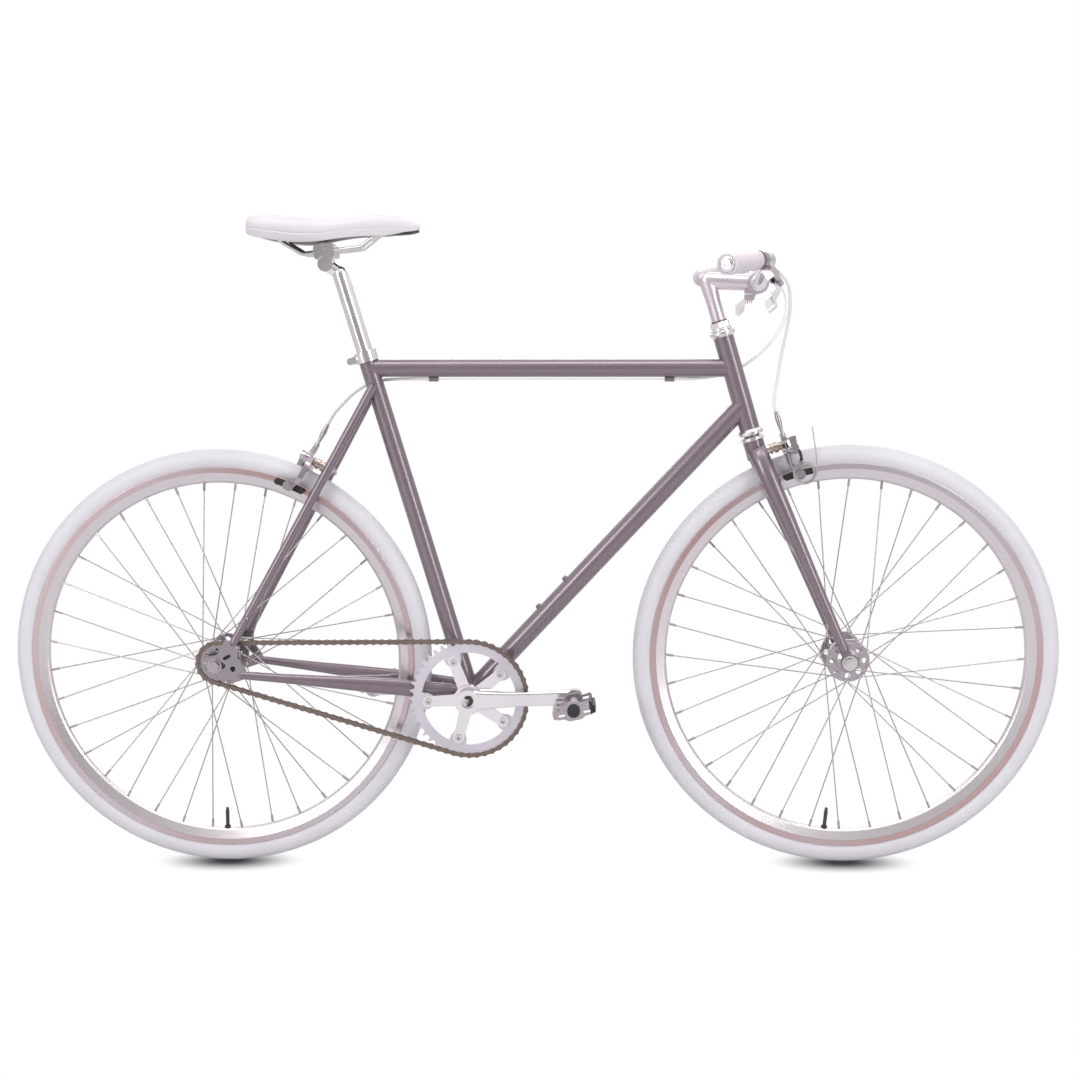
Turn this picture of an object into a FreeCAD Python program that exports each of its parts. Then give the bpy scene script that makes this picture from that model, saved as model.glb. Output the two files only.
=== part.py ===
import FreeCAD, Part
import math
import os

# A city fixed-gear bicycle, in millimetres.
# The origin is on the floor below the middle of the wheelbase, in the bicycle's centre plane.
# X points forwards, Y to the rider's left and Z up, so the chain side is at negative Y.

os.makedirs("parts", exist_ok=True)

Vector = FreeCAD.Vector
ORIGIN = Vector(0, 0, 0)
X_AXIS = Vector(1, 0, 0)
Y_AXIS = Vector(0, 1, 0)
Z_AXIS = Vector(0, 0, 1)
SIDES = (-1, 1)
RIGHT = -1
LEFT = 1

# Clearances
RUNNING_FIT = 0.05
SLIDING_FIT = 0.03
FACE_GAP = 0.3

# Wheels
WHEELBASE = 1008.0
TYRE_RADIUS = 341.0
TYRE_WALL = 2.6
TYRE_WIDTH = 25.0
RIM_RADIUS = 313.0
RIM_WIDTH = 24.0
RIM_WALL = 2.0
BRAKE_TRACK = 9.5
RIM_DEPTH = 26.0
RIM_NOSE_WIDTH = 6.0
TYRE_SEAT_DEPTH = 8.5
SPOKE_COUNT = 36
SPOKE_CROSSINGS = 3
SPOKE_RADIUS = 1.0
ELBOW_RADIUS = 1.3
NIPPLE_WIDTH = 3.4
NIPPLE_LENGTH = 12.0
FLANGE_RADIUS = 34.5
FLANGE_HOLE_CIRCLE = 31.0
FLANGE_THICKNESS = 3.0
FLANGE_WINDOWS = 8
HUB_BARREL_RADIUS = 15.0
AXLE_RADIUS = 5.0
CARRIER_RADIUS = 12.0
REAR_FIRST_SPOKE = 4.2
FRONT_FIRST_SPOKE = 9.2
REAR_VALVE_ANGLE = 269.2
FRONT_VALVE_ANGLE = 264.2
VALVE_LENGTH = 34.0

# Frame angles and tubes
FRAME_ANGLE = 73.8
FORK_RAKE = 46.5
SEAT_TUBE_RADIUS = 14.3
TOP_TUBE_RADIUS = 14.3
DOWN_TUBE_RADIUS = 15.9
HEAD_TUBE_RADIUS = 16.0
TUBE_WALL = 1.2
SEAT_TUBE_LENGTH = 574.0
TOP_TUBE_REAR_HEIGHT = 809.3
TOP_TUBE_SLOPE = -0.475
HEAD_TUBE_FOOT_HEIGHT = 708.0
HEAD_TUBE_LENGTH = 152.0
DOWN_TUBE_MEETS_HEAD = 745.6
SHELL_RADIUS = 20.0
SHELL_BORE = 17.0
SHELL_WIDTH = 68.0

# Drive
CHAIN_PITCH = 12.7
RING_TEETH = 46
COG_TEETH = 16
CHAIN_LINKS = 96
CHAIN_RUN_LINKS = 32
CHAIN_LINE = 43.0
BOTTOM_BRACKET_DROP = 59.5
TOOTH_HEIGHT = 3.0
TOOTH_TIP = 2.2
SPROCKET_THICKNESS = 3.0
ROLLER_RADIUS = 3.85
ROLLER_CLEARANCE = 0.12
LINK_PLATE = 0.95
ROLLER_LENGTH = 3.5
CRANK_LENGTH = 170.0
CRANK_ANGLE = 2.8
BOLT_CIRCLE = 65.0

# Cockpit and saddle
BAR_RADIUS = 11.1
BAR_BEND_RADIUS = 42.0
BAR_SLEEVE_RADIUS = 12.7
BAR_HALF_WIDTH = 290.0
BAR_CENTRE = Vector(358.8, 0, 936.4)
BAR_BEND = Vector(368.0, 100.0, 970.7)
BAR_END = Vector(288.6, BAR_HALF_WIDTH, 954.7)
GRIP_RADIUS = 15.5
GRIP_LENGTH = 130.0
STEERER_RADIUS = 12.7
STEERER_TOP_HEIGHT = 879.0
STEERER_BORE_FOOT = 760.0
QUILL_FOOT_HEIGHT = 780.0
QUILL_RADIUS = 11.1
STEM_HEIGHT = 941.0
POST_RADIUS = 12.7
POST_HEAD = Vector(-318.0, 0, 973.0)
POST_HEAD_RADIUS = 12.0
RAIL_RADIUS = 3.5

# Brakes
CABLE_RADIUS = 2.5
WIRE_RADIUS = 0.8
WIRE_CLEARANCE = 0.4
ARM_LAYER = 8.0
ARM_GAP = 1.0
PIVOT_RADIUS = 3.0
BARREL_SIDE = -42.0
BARREL_FOOT = 18.0
BARREL_MOUTH = 46.0
BARREL_TOP = 58.0
PAD_REACH = 47.0
PAD_RADIUS = 307.5
PAD_HEIGHT = 9.5
PAD_LENGTH = 50.0
PAD_THICKNESS = 10.0
PAD_GAP = 2.0
PAD_SHIFT = 6.0
LEVER_POSITION = 150.0
LEVER_SLANT = -50.0
LEVER_PIVOT_OUT = 44.0
LEVER_HALF_WIDTH = 6.0
LEVER_WALL = 2.5
LEVER_PIN_RADIUS = 2.5


def unit(v):
    return Vector(v).normalize()


def polar(centre, radius, degrees, y=0.0):
    angle = math.radians(degrees)
    return Vector(centre.x + radius * math.cos(angle), y, centre.z + radius * math.sin(angle))


def cylinder(start, end, radius):
    axis = end - start
    return Part.makeCylinder(radius, axis.Length, start, axis)


def cone(start, end, start_radius, end_radius):
    axis = end - start
    return Part.makeCone(start_radius, end_radius, axis.Length, start, axis)


def pipe(start, end, outer, inner):
    return cylinder(start, end, outer).cut(cylinder(start, end, inner))


def across(centre, y_from, y_to, radius):
    low = min(y_from, y_to)
    return Part.makeCylinder(radius, abs(y_to - y_from), Vector(centre.x, low, centre.z), Y_AXIS)


def corner(before, point, after, radius):
    to_before = unit(before - point)
    to_after = unit(after - point)
    half = to_before.getAngle(to_after) / 2.0
    reach = radius / math.tan(half)
    middle = point + unit(to_before + to_after) * (radius / math.sin(half) - radius)
    return point + to_before * reach, middle, point + to_after * reach


def rounded_wire(corners):
    """A closed wire through (point, radius) corners."""
    edges = []
    first = None
    last = None
    count = len(corners)
    for i, (point, radius) in enumerate(corners):
        before = corners[i - 1][0]
        after = corners[(i + 1) % count][0]
        if radius > 0:
            start, middle, end = corner(before, point, after, radius)
        else:
            start, middle, end = point, None, point
        if last is not None and last.distanceToPoint(start) > 1e-6:
            edges.append(Part.LineSegment(last, start).toShape())
        if middle is not None:
            edges.append(Part.Arc(start, middle, end).toShape())
        if first is None:
            first = start
        last = end
    if last.distanceToPoint(first) > 1e-6:
        edges.append(Part.LineSegment(last, first).toShape())
    return Part.Wire(edges)


def slab(outline, origin, across_axis, up_axis, depth):
    """A plate of an outline of (a, b) or (a, b, radius) points, with depth as its thickness vector."""
    corners = []
    for entry in outline:
        point = origin + across_axis * entry[0] + up_axis * entry[1]
        radius = entry[2] if len(entry) > 2 else 0.0
        corners.append((point, radius))
    return Part.Face(rounded_wire(corners)).extrude(depth)


def side_plate(outline, centre, y_from, y_to):
    origin = Vector(centre.x, y_from, centre.z)
    return slab(outline, origin, X_AXIS, Z_AXIS, Y_AXIS * (y_to - y_from))


def lathe(outline, centre, axis):
    """A solid of revolution of an outline of (radius, height) or (radius, height, round) points."""
    corners = []
    for entry in outline:
        radius = entry[2] if len(entry) > 2 else 0.0
        corners.append((Vector(entry[0], 0, entry[1]), radius))
    shape = Part.Face(rounded_wire(corners)).revolve(ORIGIN, Z_AXIS, 360)
    shape.Placement = FreeCAD.Placement(centre, FreeCAD.Rotation(Z_AXIS, axis))
    return shape


def path_wire(points, fixed_radius=None):
    """Straight runs joined by tangent arcs, each arc as large as its two runs allow."""
    edges = []
    radii = []
    last = points[0]
    for before, point, after in zip(points, points[1:], points[2:]):
        turn = math.pi - (before - point).getAngle(after - point)
        run = min(before.distanceToPoint(point), point.distanceToPoint(after))
        radius = fixed_radius
        if radius is None:
            radius = 0.45 * run / math.tan(turn / 2.0)
        start, middle, end = corner(before, point, after, radius)
        edges.append(Part.LineSegment(last, start).toShape())
        edges.append(Part.Arc(start, middle, end).toShape())
        radii.append(radius)
        last = end
    edges.append(Part.LineSegment(last, points[-1]).toShape())
    return Part.Wire(edges), radii


def swept(points, radius, fixed_radius=None):
    wire = path_wire(points, fixed_radius)[0]
    ring = Part.Wire(Part.Circle(points[0], points[1] - points[0], radius).toShape())
    return wire.makePipeShell([ring], True, False)


def cable(name, points, radius):
    wire, radii = path_wire(points)
    shape = swept(points, radius)
    expected = math.pi * radius * radius * wire.Length
    print(name, "length", round(wire.Length, 1), "radii", [round(r, 1) for r in radii])
    print(name, "volume over section times length", round(shape.Volume / expected, 4))
    return shape


def save(name, *shapes):
    shape = shapes[0] if len(shapes) == 1 else Part.makeCompound(list(shapes))
    shape.exportStep("parts/" + name + ".step")


def ellipse_wire(centre, major_axis, minor_axis, major, minor):
    curve = Part.Ellipse(centre + major_axis * major, centre + minor_axis * minor, centre)
    return Part.Wire(curve.toShape())


def largest(shape):
    return max(shape.Solids, key=lambda solid: solid.Volume)


def mirrored_y(point, side):
    return Vector(point.x, point.y * side, point.z)


# Shared points and directions
SLOPE = math.radians(FRAME_ANGLE)
UP_STEER = Vector(-math.cos(SLOPE), 0, math.sin(SLOPE))
AHEAD_STEER = Vector(math.sin(SLOPE), 0, math.cos(SLOPE))
REAR_HUB = Vector(-WHEELBASE / 2, 0, TYRE_RADIUS)
FRONT_HUB = Vector(WHEELBASE / 2, 0, TYRE_RADIUS)

RING_PITCH_RADIUS = CHAIN_PITCH / (2 * math.sin(math.pi / RING_TEETH))
COG_PITCH_RADIUS = CHAIN_PITCH / (2 * math.sin(math.pi / COG_TEETH))
RING_STEP = 360.0 / RING_TEETH
COG_STEP = 360.0 / COG_TEETH
RING_WRAP = 25
COG_WRAP = CHAIN_LINKS - 2 * CHAIN_RUN_LINKS - RING_WRAP
RING_EXIT = 180.0 - RING_WRAP * RING_STEP / 2
COG_EXIT = COG_WRAP * COG_STEP / 2


def exit_point(radius, degrees):
    angle = math.radians(degrees)
    return radius * math.cos(angle), radius * math.sin(angle)


RING_EXIT_X, RING_EXIT_Y = exit_point(RING_PITCH_RADIUS, RING_EXIT)
COG_EXIT_X, COG_EXIT_Y = exit_point(COG_PITCH_RADIUS, COG_EXIT)
CHAIN_RUN = CHAIN_RUN_LINKS * CHAIN_PITCH
CENTRE_DISTANCE = RING_EXIT_X - COG_EXIT_X + math.sqrt(CHAIN_RUN ** 2 - (RING_EXIT_Y - COG_EXIT_Y) ** 2)
CHAIN_BASE = math.sqrt(CENTRE_DISTANCE ** 2 - BOTTOM_BRACKET_DROP ** 2)
BRACKET = Vector(REAR_HUB.x + CHAIN_BASE, 0, TYRE_RADIUS - BOTTOM_BRACKET_DROP)

STEER_AT_AXLE = FRONT_HUB - X_AXIS * (FORK_RAKE / math.sin(SLOPE))


def steer_point(height):
    return STEER_AT_AXLE + UP_STEER * ((height - TYRE_RADIUS) / UP_STEER.z)


def seat_point(height):
    return BRACKET + UP_STEER * ((height - BRACKET.z) / UP_STEER.z)


HEAD_FOOT = steer_point(HEAD_TUBE_FOOT_HEIGHT)
HEAD_TOP = HEAD_FOOT + UP_STEER * HEAD_TUBE_LENGTH
SEAT_TOP = BRACKET + UP_STEER * SEAT_TUBE_LENGTH
TOP_REAR = seat_point(TOP_TUBE_REAR_HEIGHT)
TOP_RUN = Vector(math.cos(math.radians(TOP_TUBE_SLOPE)), 0, math.sin(math.radians(TOP_TUBE_SLOPE)))
HEAD_MEETS_DOWN = steer_point(DOWN_TUBE_MEETS_HEAD)
DOWN_RUN = unit(HEAD_MEETS_DOWN - BRACKET)


def top_point(x):
    return TOP_REAR + TOP_RUN * ((x - TOP_REAR.x) / TOP_RUN.x)


# Frame tubes
TOP_LENGTH = 590.0
TRACK_END_Y = 63.0
TRACK_END_THICKNESS = 6.0
SEAT_STAY_TOP = Vector(-246.0, 12.0, 782.0)
SEAT_STAY_FOOT = Vector(-473.0, TRACK_END_Y, 378.0)
SEAT_STAY_RADIUS = 8.0
SEAT_STAY_FOOT_RADIUS = 6.5
CHAIN_STAY_FOOT = Vector(-462.0, TRACK_END_Y, 325.0)
CHAIN_STAY_MIDDLE = Vector(-300.0, 44.5, 308.0)
CHAIN_STAY_HEAD = Vector(-112.0, 24.0, 287.0)
STAY_DOWN = unit(Vector(SEAT_STAY_FOOT.x - SEAT_STAY_TOP.x, 0, SEAT_STAY_FOOT.z - SEAT_STAY_TOP.z))
REAR_OUT = unit(Vector(STAY_DOWN.z, 0, -STAY_DOWN.x))
BRIDGE_CENTRE = Vector(-321.5, 0, 646.4)
BRIDGE_RADIUS = 6.5
BRIDGE_DEPTH = 38.0
REAR_BRAKE = BRIDGE_CENTRE + REAR_OUT * BRIDGE_DEPTH


def solid_seat_tube():
    return cylinder(BRACKET, SEAT_TOP, SEAT_TUBE_RADIUS)


def solid_head_tube():
    return cylinder(HEAD_FOOT, HEAD_TOP, HEAD_TUBE_RADIUS)


def solid_shell():
    return across(BRACKET, -SHELL_WIDTH / 2, SHELL_WIDTH / 2, SHELL_RADIUS)


def head_tube():
    return pipe(HEAD_FOOT, HEAD_TOP, HEAD_TUBE_RADIUS, HEAD_TUBE_RADIUS - 1.5)


def seat_tube():
    tube = pipe(BRACKET, SEAT_TOP, SEAT_TUBE_RADIUS, POST_RADIUS + SLIDING_FIT)
    slit = Part.makeBox(20.0, 2.0, 26.0, SEAT_TOP + Vector(-20.0, -1.0, -26.0))
    return tube.cut([solid_shell(), slit])


def top_tube():
    end = TOP_REAR + TOP_RUN * TOP_LENGTH
    tube = pipe(TOP_REAR, end, TOP_TUBE_RADIUS, TOP_TUBE_RADIUS - TUBE_WALL)
    long_head = cylinder(HEAD_FOOT - UP_STEER * 50, HEAD_TOP + UP_STEER * 50, HEAD_TUBE_RADIUS)
    return largest(tube.cut([solid_seat_tube(), long_head]))


def down_tube():
    tube = pipe(BRACKET, HEAD_MEETS_DOWN, DOWN_TUBE_RADIUS, DOWN_TUBE_RADIUS - TUBE_WALL)
    return largest(tube.cut([solid_seat_tube(), solid_head_tube(), solid_shell()]))


def bottom_bracket_shell():
    shell = across(BRACKET, -SHELL_WIDTH / 2, SHELL_WIDTH / 2, SHELL_RADIUS)
    return shell.cut(across(BRACKET, -SHELL_WIDTH, SHELL_WIDTH, SHELL_BORE))


# Track ends
TRACK_SLOT = 5.3
TRACK_OUTLINE = (
    (-18, TRACK_SLOT, 1), (-18, 13, 4), (4, 17, 6), (18, 41, 5), (36, 38, 5), (36, 12, 8),
    (50, -8, 4), (48, -22, 5), (33, -27, 5), (22, -31, 5), (10, -20, 6), (-18, -13, 4),
    (-18, -TRACK_SLOT, 1), (17, -TRACK_SLOT, 5.2), (17, TRACK_SLOT, 5.2),
)


def track_end(side):
    inner = side * (TRACK_END_Y - TRACK_END_THICKNESS / 2)
    outer = side * (TRACK_END_Y + TRACK_END_THICKNESS / 2)
    plate = side_plate(TRACK_OUTLINE, REAR_HUB, inner, outer)
    upper = side_plate(((12, 12, 2.5), (24, 19, 2.5), (28, 15, 2.5), (16, 8.5, 2.5)), REAR_HUB, inner, outer)
    lower = across(REAR_HUB + Vector(29, 0, -5.5), inner, outer, 4.5)
    eyelet = across(REAR_HUB + Vector(23, 0, -23.5), inner, outer, 2.5)
    return plate.cut([upper, lower, eyelet])


def track_ends():
    return [track_end(side) for side in SIDES]


def seat_stay(side, grow=0.0):
    top = mirrored_y(SEAT_STAY_TOP, side)
    foot = mirrored_y(SEAT_STAY_FOOT, side)
    tube = cone(top, foot, SEAT_STAY_RADIUS + grow, SEAT_STAY_FOOT_RADIUS + grow)
    tip = Part.makeSphere(SEAT_STAY_FOOT_RADIUS + grow, foot)
    return tube.fuse(tip)


EYELET_HEIGHT = 417.0
EYELET_RADIUS = 2.5


def seat_stays(ends):
    bridge = across(BRIDGE_CENTRE, -40.0, 40.0, BRIDGE_RADIUS)
    hole = cylinder(BRIDGE_CENTRE - REAR_OUT * 20, BRIDGE_CENTRE + REAR_OUT * 20, PIVOT_RADIUS)
    solids = []
    along = (SEAT_STAY_TOP.z - EYELET_HEIGHT) / (SEAT_STAY_TOP.z - SEAT_STAY_FOOT.z)
    for side in SIDES:
        top = mirrored_y(SEAT_STAY_TOP, side)
        foot = mirrored_y(SEAT_STAY_FOOT, side)
        eye = top + (foot - top) * along
        eyelet = across(eye, eye.y - 20, eye.y + 20, EYELET_RADIUS)
        stay = seat_stay(side).cut([solid_seat_tube(), ends[SIDES.index(side)], eyelet])
        solids.append(largest(stay))
    middle = bridge.cut([seat_stay(-1), seat_stay(1), hole])
    solids.append(max(middle.Solids, key=lambda s: s.Volume - abs(s.CenterOfMass.y) * 1e6))
    split = solids[0].cut(solids[1])
    return Part.makeCompound([largest(split), solids[1], solids[2]])


def chain_stay(side):
    foot = mirrored_y(CHAIN_STAY_FOOT, side)
    middle = mirrored_y(CHAIN_STAY_MIDDLE, side)
    head = mirrored_y(CHAIN_STAY_HEAD, side)
    run = unit(head - foot)
    flat = unit(Y_AXIS - run * run.dot(Y_AXIS))
    tall = unit(run.cross(flat))
    sections = [
        ellipse_wire(foot, tall, flat, 6.6, 6.5),
        ellipse_wire(foot + (middle - foot) * 0.4, tall, flat, 7.8, 7.6),
        ellipse_wire(middle, tall, flat, 11.0, 8.0),
        ellipse_wire(head, tall, flat, 12.4, 7.6),
    ]
    return Part.makeLoft(sections, True, False)


def chain_stays(ends):
    solids = []
    for side in SIDES:
        foot = mirrored_y(CHAIN_STAY_FOOT, side)
        run = unit(foot - mirrored_y(CHAIN_STAY_MIDDLE, side))
        tip = cone(foot - run, foot + run * 5.0, 6.5, 3.5)
        cuts = [solid_shell(), ends[SIDES.index(side)], solid_seat_tube()]
        solids.append(largest(chain_stay(side).fuse(tip).cut(cuts)))
    bridge_at = Vector(-148.0, 0, 290.6)
    bridge = across(bridge_at, -30.0, 30.0, 6.0).cut([chain_stay(-1), chain_stay(1)])
    solids.append(min(bridge.Solids, key=lambda s: abs(s.CenterOfMass.y)))
    return Part.makeCompound(solids)


# Small fittings brazed to the tubes
STOP_X = (-151.4, 222.2)
STOP_RADIUS = 4.2
STOP_LENGTH = 15.0
STOP_SOCKET = 9.0
BOSS_X = (23.7, 66.5)
BOSS_RADIUS = 5.0


def stop_centre(x):
    under = Vector(TOP_RUN.z, 0, -TOP_RUN.x)
    return top_point(x) + under * (TOP_TUBE_RADIUS + STOP_RADIUS - 1.2)


def cable_stop(x, opening):
    centre = stop_centre(x)
    start = centre - TOP_RUN * (opening * STOP_LENGTH / 2)
    end = centre + TOP_RUN * (opening * STOP_LENGTH / 2)
    body = cylinder(start, end, STOP_RADIUS)
    web = Part.makeBox(STOP_LENGTH * 0.8, 3.0, STOP_RADIUS + 2, centre - Vector(STOP_LENGTH * 0.4, 1.5, 0))
    socket = cylinder(end - TOP_RUN * (opening * STOP_SOCKET), end, CABLE_RADIUS)
    wire_way = cylinder(start, end, WIRE_RADIUS + WIRE_CLEARANCE)
    solid_top_tube = cylinder(TOP_REAR, TOP_REAR + TOP_RUN * TOP_LENGTH, TOP_TUBE_RADIUS)
    return body.fuse(web).cut([socket, wire_way, solid_top_tube])


def bottle_bolt(x):
    up = Vector(-DOWN_RUN.z, 0, DOWN_RUN.x)
    base = BRACKET + DOWN_RUN * ((x - BRACKET.x) / DOWN_RUN.x)
    foot = base + up * (DOWN_TUBE_RADIUS - 3.0)
    boss = cylinder(foot, base + up * (DOWN_TUBE_RADIUS + 1.6), BOSS_RADIUS)
    head = cylinder(base + up * (DOWN_TUBE_RADIUS + 1.6), base + up * (DOWN_TUBE_RADIUS + 4.2), 4.2)
    socket = cylinder(base + up * (DOWN_TUBE_RADIUS + 2.4), base + up * (DOWN_TUBE_RADIUS + 5), 2.0)
    return boss.cut(cylinder(BRACKET, HEAD_MEETS_DOWN, DOWN_TUBE_RADIUS)).fuse(head).cut(socket)


def braze_ons():
    solids = [cable_stop(STOP_X[0], -1), cable_stop(STOP_X[1], 1)]
    solids += [bottle_bolt(x) for x in BOSS_X]
    return Part.makeCompound(solids)


# Bearings and clamps of the frame
CUP_RADIUS = 20.0
CUP_HEIGHT = 9.0


def headset_cup(base, direction):
    inner = STEERER_RADIUS + RUNNING_FIT
    outline = (
        (inner, -8), (HEAD_TUBE_RADIUS - 1.5, -8), (HEAD_TUBE_RADIUS - 1.5, 0), (HEAD_TUBE_RADIUS + 1, 0),
        (CUP_RADIUS, 3.5, 2), (CUP_RADIUS, CUP_HEIGHT, 1.5), (inner, CUP_HEIGHT),
    )
    return lathe(outline, base, direction)


def bracket_cup(side):
    inner = SPINDLE_RADIUS + RUNNING_FIT
    outline = (
        (inner, -16), (SHELL_BORE, -16), (SHELL_BORE, 0), (SHELL_RADIUS - 0.5, 0),
        (SHELL_RADIUS - 0.5, 2.5, 1), (inner, 2.5),
    )
    return lathe(outline, Vector(BRACKET.x, side * SHELL_WIDTH / 2, BRACKET.z), Y_AXIS * side)


def seat_clamp():
    low = SEAT_TOP - UP_STEER * 14.0
    high = SEAT_TOP + UP_STEER * 3.0
    outer = SEAT_TUBE_RADIUS + 3.4
    collar = cylinder(low, high, outer).cut(cylinder(low, SEAT_TOP, SEAT_TUBE_RADIUS))
    collar = collar.cut(cylinder(low, high, POST_RADIUS + SLIDING_FIT))
    centre = SEAT_TOP - UP_STEER * 6.0
    lug_outline = ((12, -5.5, 2), (31, -5.5, 5), (31, 5.5, 5), (12, 5.5, 2))
    lug = slab(lug_outline, centre - Y_AXIS * 9.0, -AHEAD_STEER, UP_STEER, Y_AXIS * 18.0)
    bolt_centre = centre - AHEAD_STEER * 24.5
    bolt = across(bolt_centre, -13.0, 13.0, 5.0)
    recess = across(bolt_centre, -13.0, -10.0, 2.6)
    body = collar.fuse([lug.cut(cylinder(low, high, outer - 1))])
    slit_outline = ((8, -9), (40, -9), (40, 10), (8, 10))
    slit = slab(slit_outline, centre - Y_AXIS * 1.0, -AHEAD_STEER, UP_STEER, Y_AXIS * 2.0)
    pinch = body.cut([slit, across(bolt_centre, -13.0, 13.0, 5.0)])
    return Part.makeCompound([pinch, bolt.cut(recess)])


# Rear and front axles
def axle(centre, half_track, plate, half_length, hub_half):
    solids = [across(centre, -half_length, half_length, AXLE_RADIUS)]
    for side in SIDES:
        face = half_track + plate
        solids.append(ring_across(centre, side, hub_half + FACE_GAP, half_track, 9.0))
        solids.append(ring_across(centre, side, face, face + 2.2, 12.0))
        nut_from = Vector(centre.x, side * (face + 2.2), centre.z)
        nut = slab(hexagon(8.9), nut_from, X_AXIS, Z_AXIS, Y_AXIS * (side * 7.0))
        solids.append(nut.cut(across(centre, -half_length, half_length, AXLE_RADIUS)))
    return Part.makeCompound(solids)


def ring_across(centre, side, y_from, y_to, radius):
    ring = across(centre, side * y_from, side * y_to, radius)
    return ring.cut(across(centre, side * (y_from - 1), side * (y_to + 1), AXLE_RADIUS))


def hexagon(radius):
    corners = []
    for i in range(6):
        angle = math.radians(60 * i + 12)
        corners.append((radius * math.cos(angle), radius * math.sin(angle), 0.8))
    return corners


# Wheels
def rim(centre):
    half = RIM_WIDTH / 2
    nose = RIM_NOSE_WIDTH / 2
    seat = half - RIM_WALL
    inner = RIM_RADIUS - RIM_DEPTH
    track = RIM_RADIUS - BRAKE_TRACK
    floor = RIM_RADIUS - TYRE_SEAT_DEPTH
    outline = (
        (RIM_RADIUS, -half, 0.8), (RIM_RADIUS, -seat), (floor, -seat), (floor, seat), (RIM_RADIUS, seat),
        (RIM_RADIUS, half, 0.8), (track, half, 3), (inner + 3, nose + 3, 5), (inner, nose, 2),
        (inner, -nose, 2), (inner + 3, -nose - 3, 5), (track, -half, 3),
    )
    chamber = (
        (floor - RIM_WALL, -seat + 1, 2), (floor - RIM_WALL, seat - 1, 2),
        (inner + 5, nose + 0.5, 2), (inner + 3, 0, 1), (inner + 5, -nose - 0.5, 2),
    )
    return lathe(outline, centre, Y_AXIS), lathe(chamber, centre, Y_AXIS)


def tyre_oval(half, crown, widest):
    """The ellipse over the crown, from one edge of the rim round to the other."""
    share = math.sqrt(1 - (half / widest) ** 2)
    middle = crown - (crown - RIM_RADIUS) / (1 + share)
    oval = Part.Ellipse(Vector(crown, 0, 0), Vector(middle, 0, widest), Vector(middle, 0, 0))
    turn = math.acos(-share)
    return oval.toShape(-turn, turn)


def tyre(centre):
    half = RIM_WIDTH / 2 - RIM_WALL
    bead = RIM_RADIUS - TYRE_SEAT_DEPTH
    inside = half - TYRE_WALL
    widest = TYRE_WIDTH / 2

    def point(radius, across_rim):
        return Vector(radius, 0, across_rim)

    edges = [
        Part.LineSegment(point(bead, -half), point(RIM_RADIUS, -half)).toShape(),
        tyre_oval(half, TYRE_RADIUS, widest),
        Part.LineSegment(point(RIM_RADIUS, half), point(bead, half)).toShape(),
        Part.LineSegment(point(bead, half), point(bead, inside)).toShape(),
        Part.LineSegment(point(bead, inside), point(RIM_RADIUS, inside)).toShape(),
        tyre_oval(inside, TYRE_RADIUS - TYRE_WALL, widest - TYRE_WALL),
        Part.LineSegment(point(RIM_RADIUS, -inside), point(bead, -inside)).toShape(),
        Part.LineSegment(point(bead, -inside), point(bead, -half)).toShape(),
    ]
    shape = Part.Face(Part.Wire(edges)).revolve(ORIGIN, Z_AXIS, 360)
    shape.Placement = FreeCAD.Placement(centre, FreeCAD.Rotation(Z_AXIS, Y_AXIS))
    return shape


def hub(centre, flange_y, half_width, thread):
    bore = AXLE_RADIUS + RUNNING_FIT
    inside = flange_y - FLANGE_THICKNESS / 2
    outside = flange_y + FLANGE_THICKNESS / 2
    half_outline = (
        (HUB_BARREL_RADIUS, inside - 9, 5), (19.0, inside, 3), (FLANGE_RADIUS, inside, 1),
        (FLANGE_RADIUS, outside, 1), (19.0, outside), (19.0, outside + 1.5, 3),
        (CARRIER_RADIUS, outside + 6, 1), (CARRIER_RADIUS, half_width, 1), (bore, half_width),
    )
    mirrored_half = [(entry[0], -entry[1]) + tuple(entry[2:]) for entry in reversed(half_outline)]
    outline = mirrored_half + list(half_outline)
    body = lathe(outline, centre, Y_AXIS)
    holes = []
    for side in SIDES:
        low = side * flange_y - 4.0
        for i in range(FLANGE_WINDOWS):
            spot = polar(centre, 24.5, 360.0 / FLANGE_WINDOWS * i)
            holes.append(across(spot, low, low + 8.0, 4.6))
        for i in range(SPOKE_COUNT // 2):
            spot = polar(centre, FLANGE_HOLE_CIRCLE, flange_angle(thread, side, i))
            holes.append(across(spot, low, low + 8.0, SPOKE_RADIUS + 0.15))
    return body.cut(holes)


def flange_angle(first, side, index):
    shift = 0.0 if side == LEFT else 360.0 / SPOKE_COUNT
    return first + shift + index * 720.0 / SPOKE_COUNT


def spokes(centre, flange_y, first, rim_solid):
    lace = 720.0 / SPOKE_COUNT * SPOKE_CROSSINGS
    inner = RIM_RADIUS - RIM_DEPTH
    wires = []
    nipples = []
    for side in SIDES:
        for i in range(SPOKE_COUNT // 2):
            outwards = 1 if i % 2 == 0 else -1
            start_angle = flange_angle(first, side, i)
            end_angle = start_angle + lace * outwards
            off = FLANGE_THICKNESS / 2 + SPOKE_RADIUS
            head = polar(centre, FLANGE_HOLE_CIRCLE, start_angle, side * (flange_y - outwards * (off + 0.3)))
            elbow = polar(centre, FLANGE_HOLE_CIRCLE, start_angle, side * (flange_y + outwards * off))
            seat = polar(centre, inner + 4.0, end_angle, side * 2.0)
            run = unit(seat - elbow)
            foot = seat - run * (NIPPLE_LENGTH + 4.0)
            wires.append(swept([head, elbow, foot], SPOKE_RADIUS, ELBOW_RADIUS))
            wide = unit(run.cross(Y_AXIS))
            deep = unit(run.cross(wide))
            half = NIPPLE_WIDTH / 2
            square = ((-half, -half), (half, -half), (half, half), (-half, half))
            nipples.append(slab(square, foot, wide, deep, run * (NIPPLE_LENGTH + 4.0)).cut(rim_solid))
    return Part.makeCompound(wires + [largest(n) for n in nipples])


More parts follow.
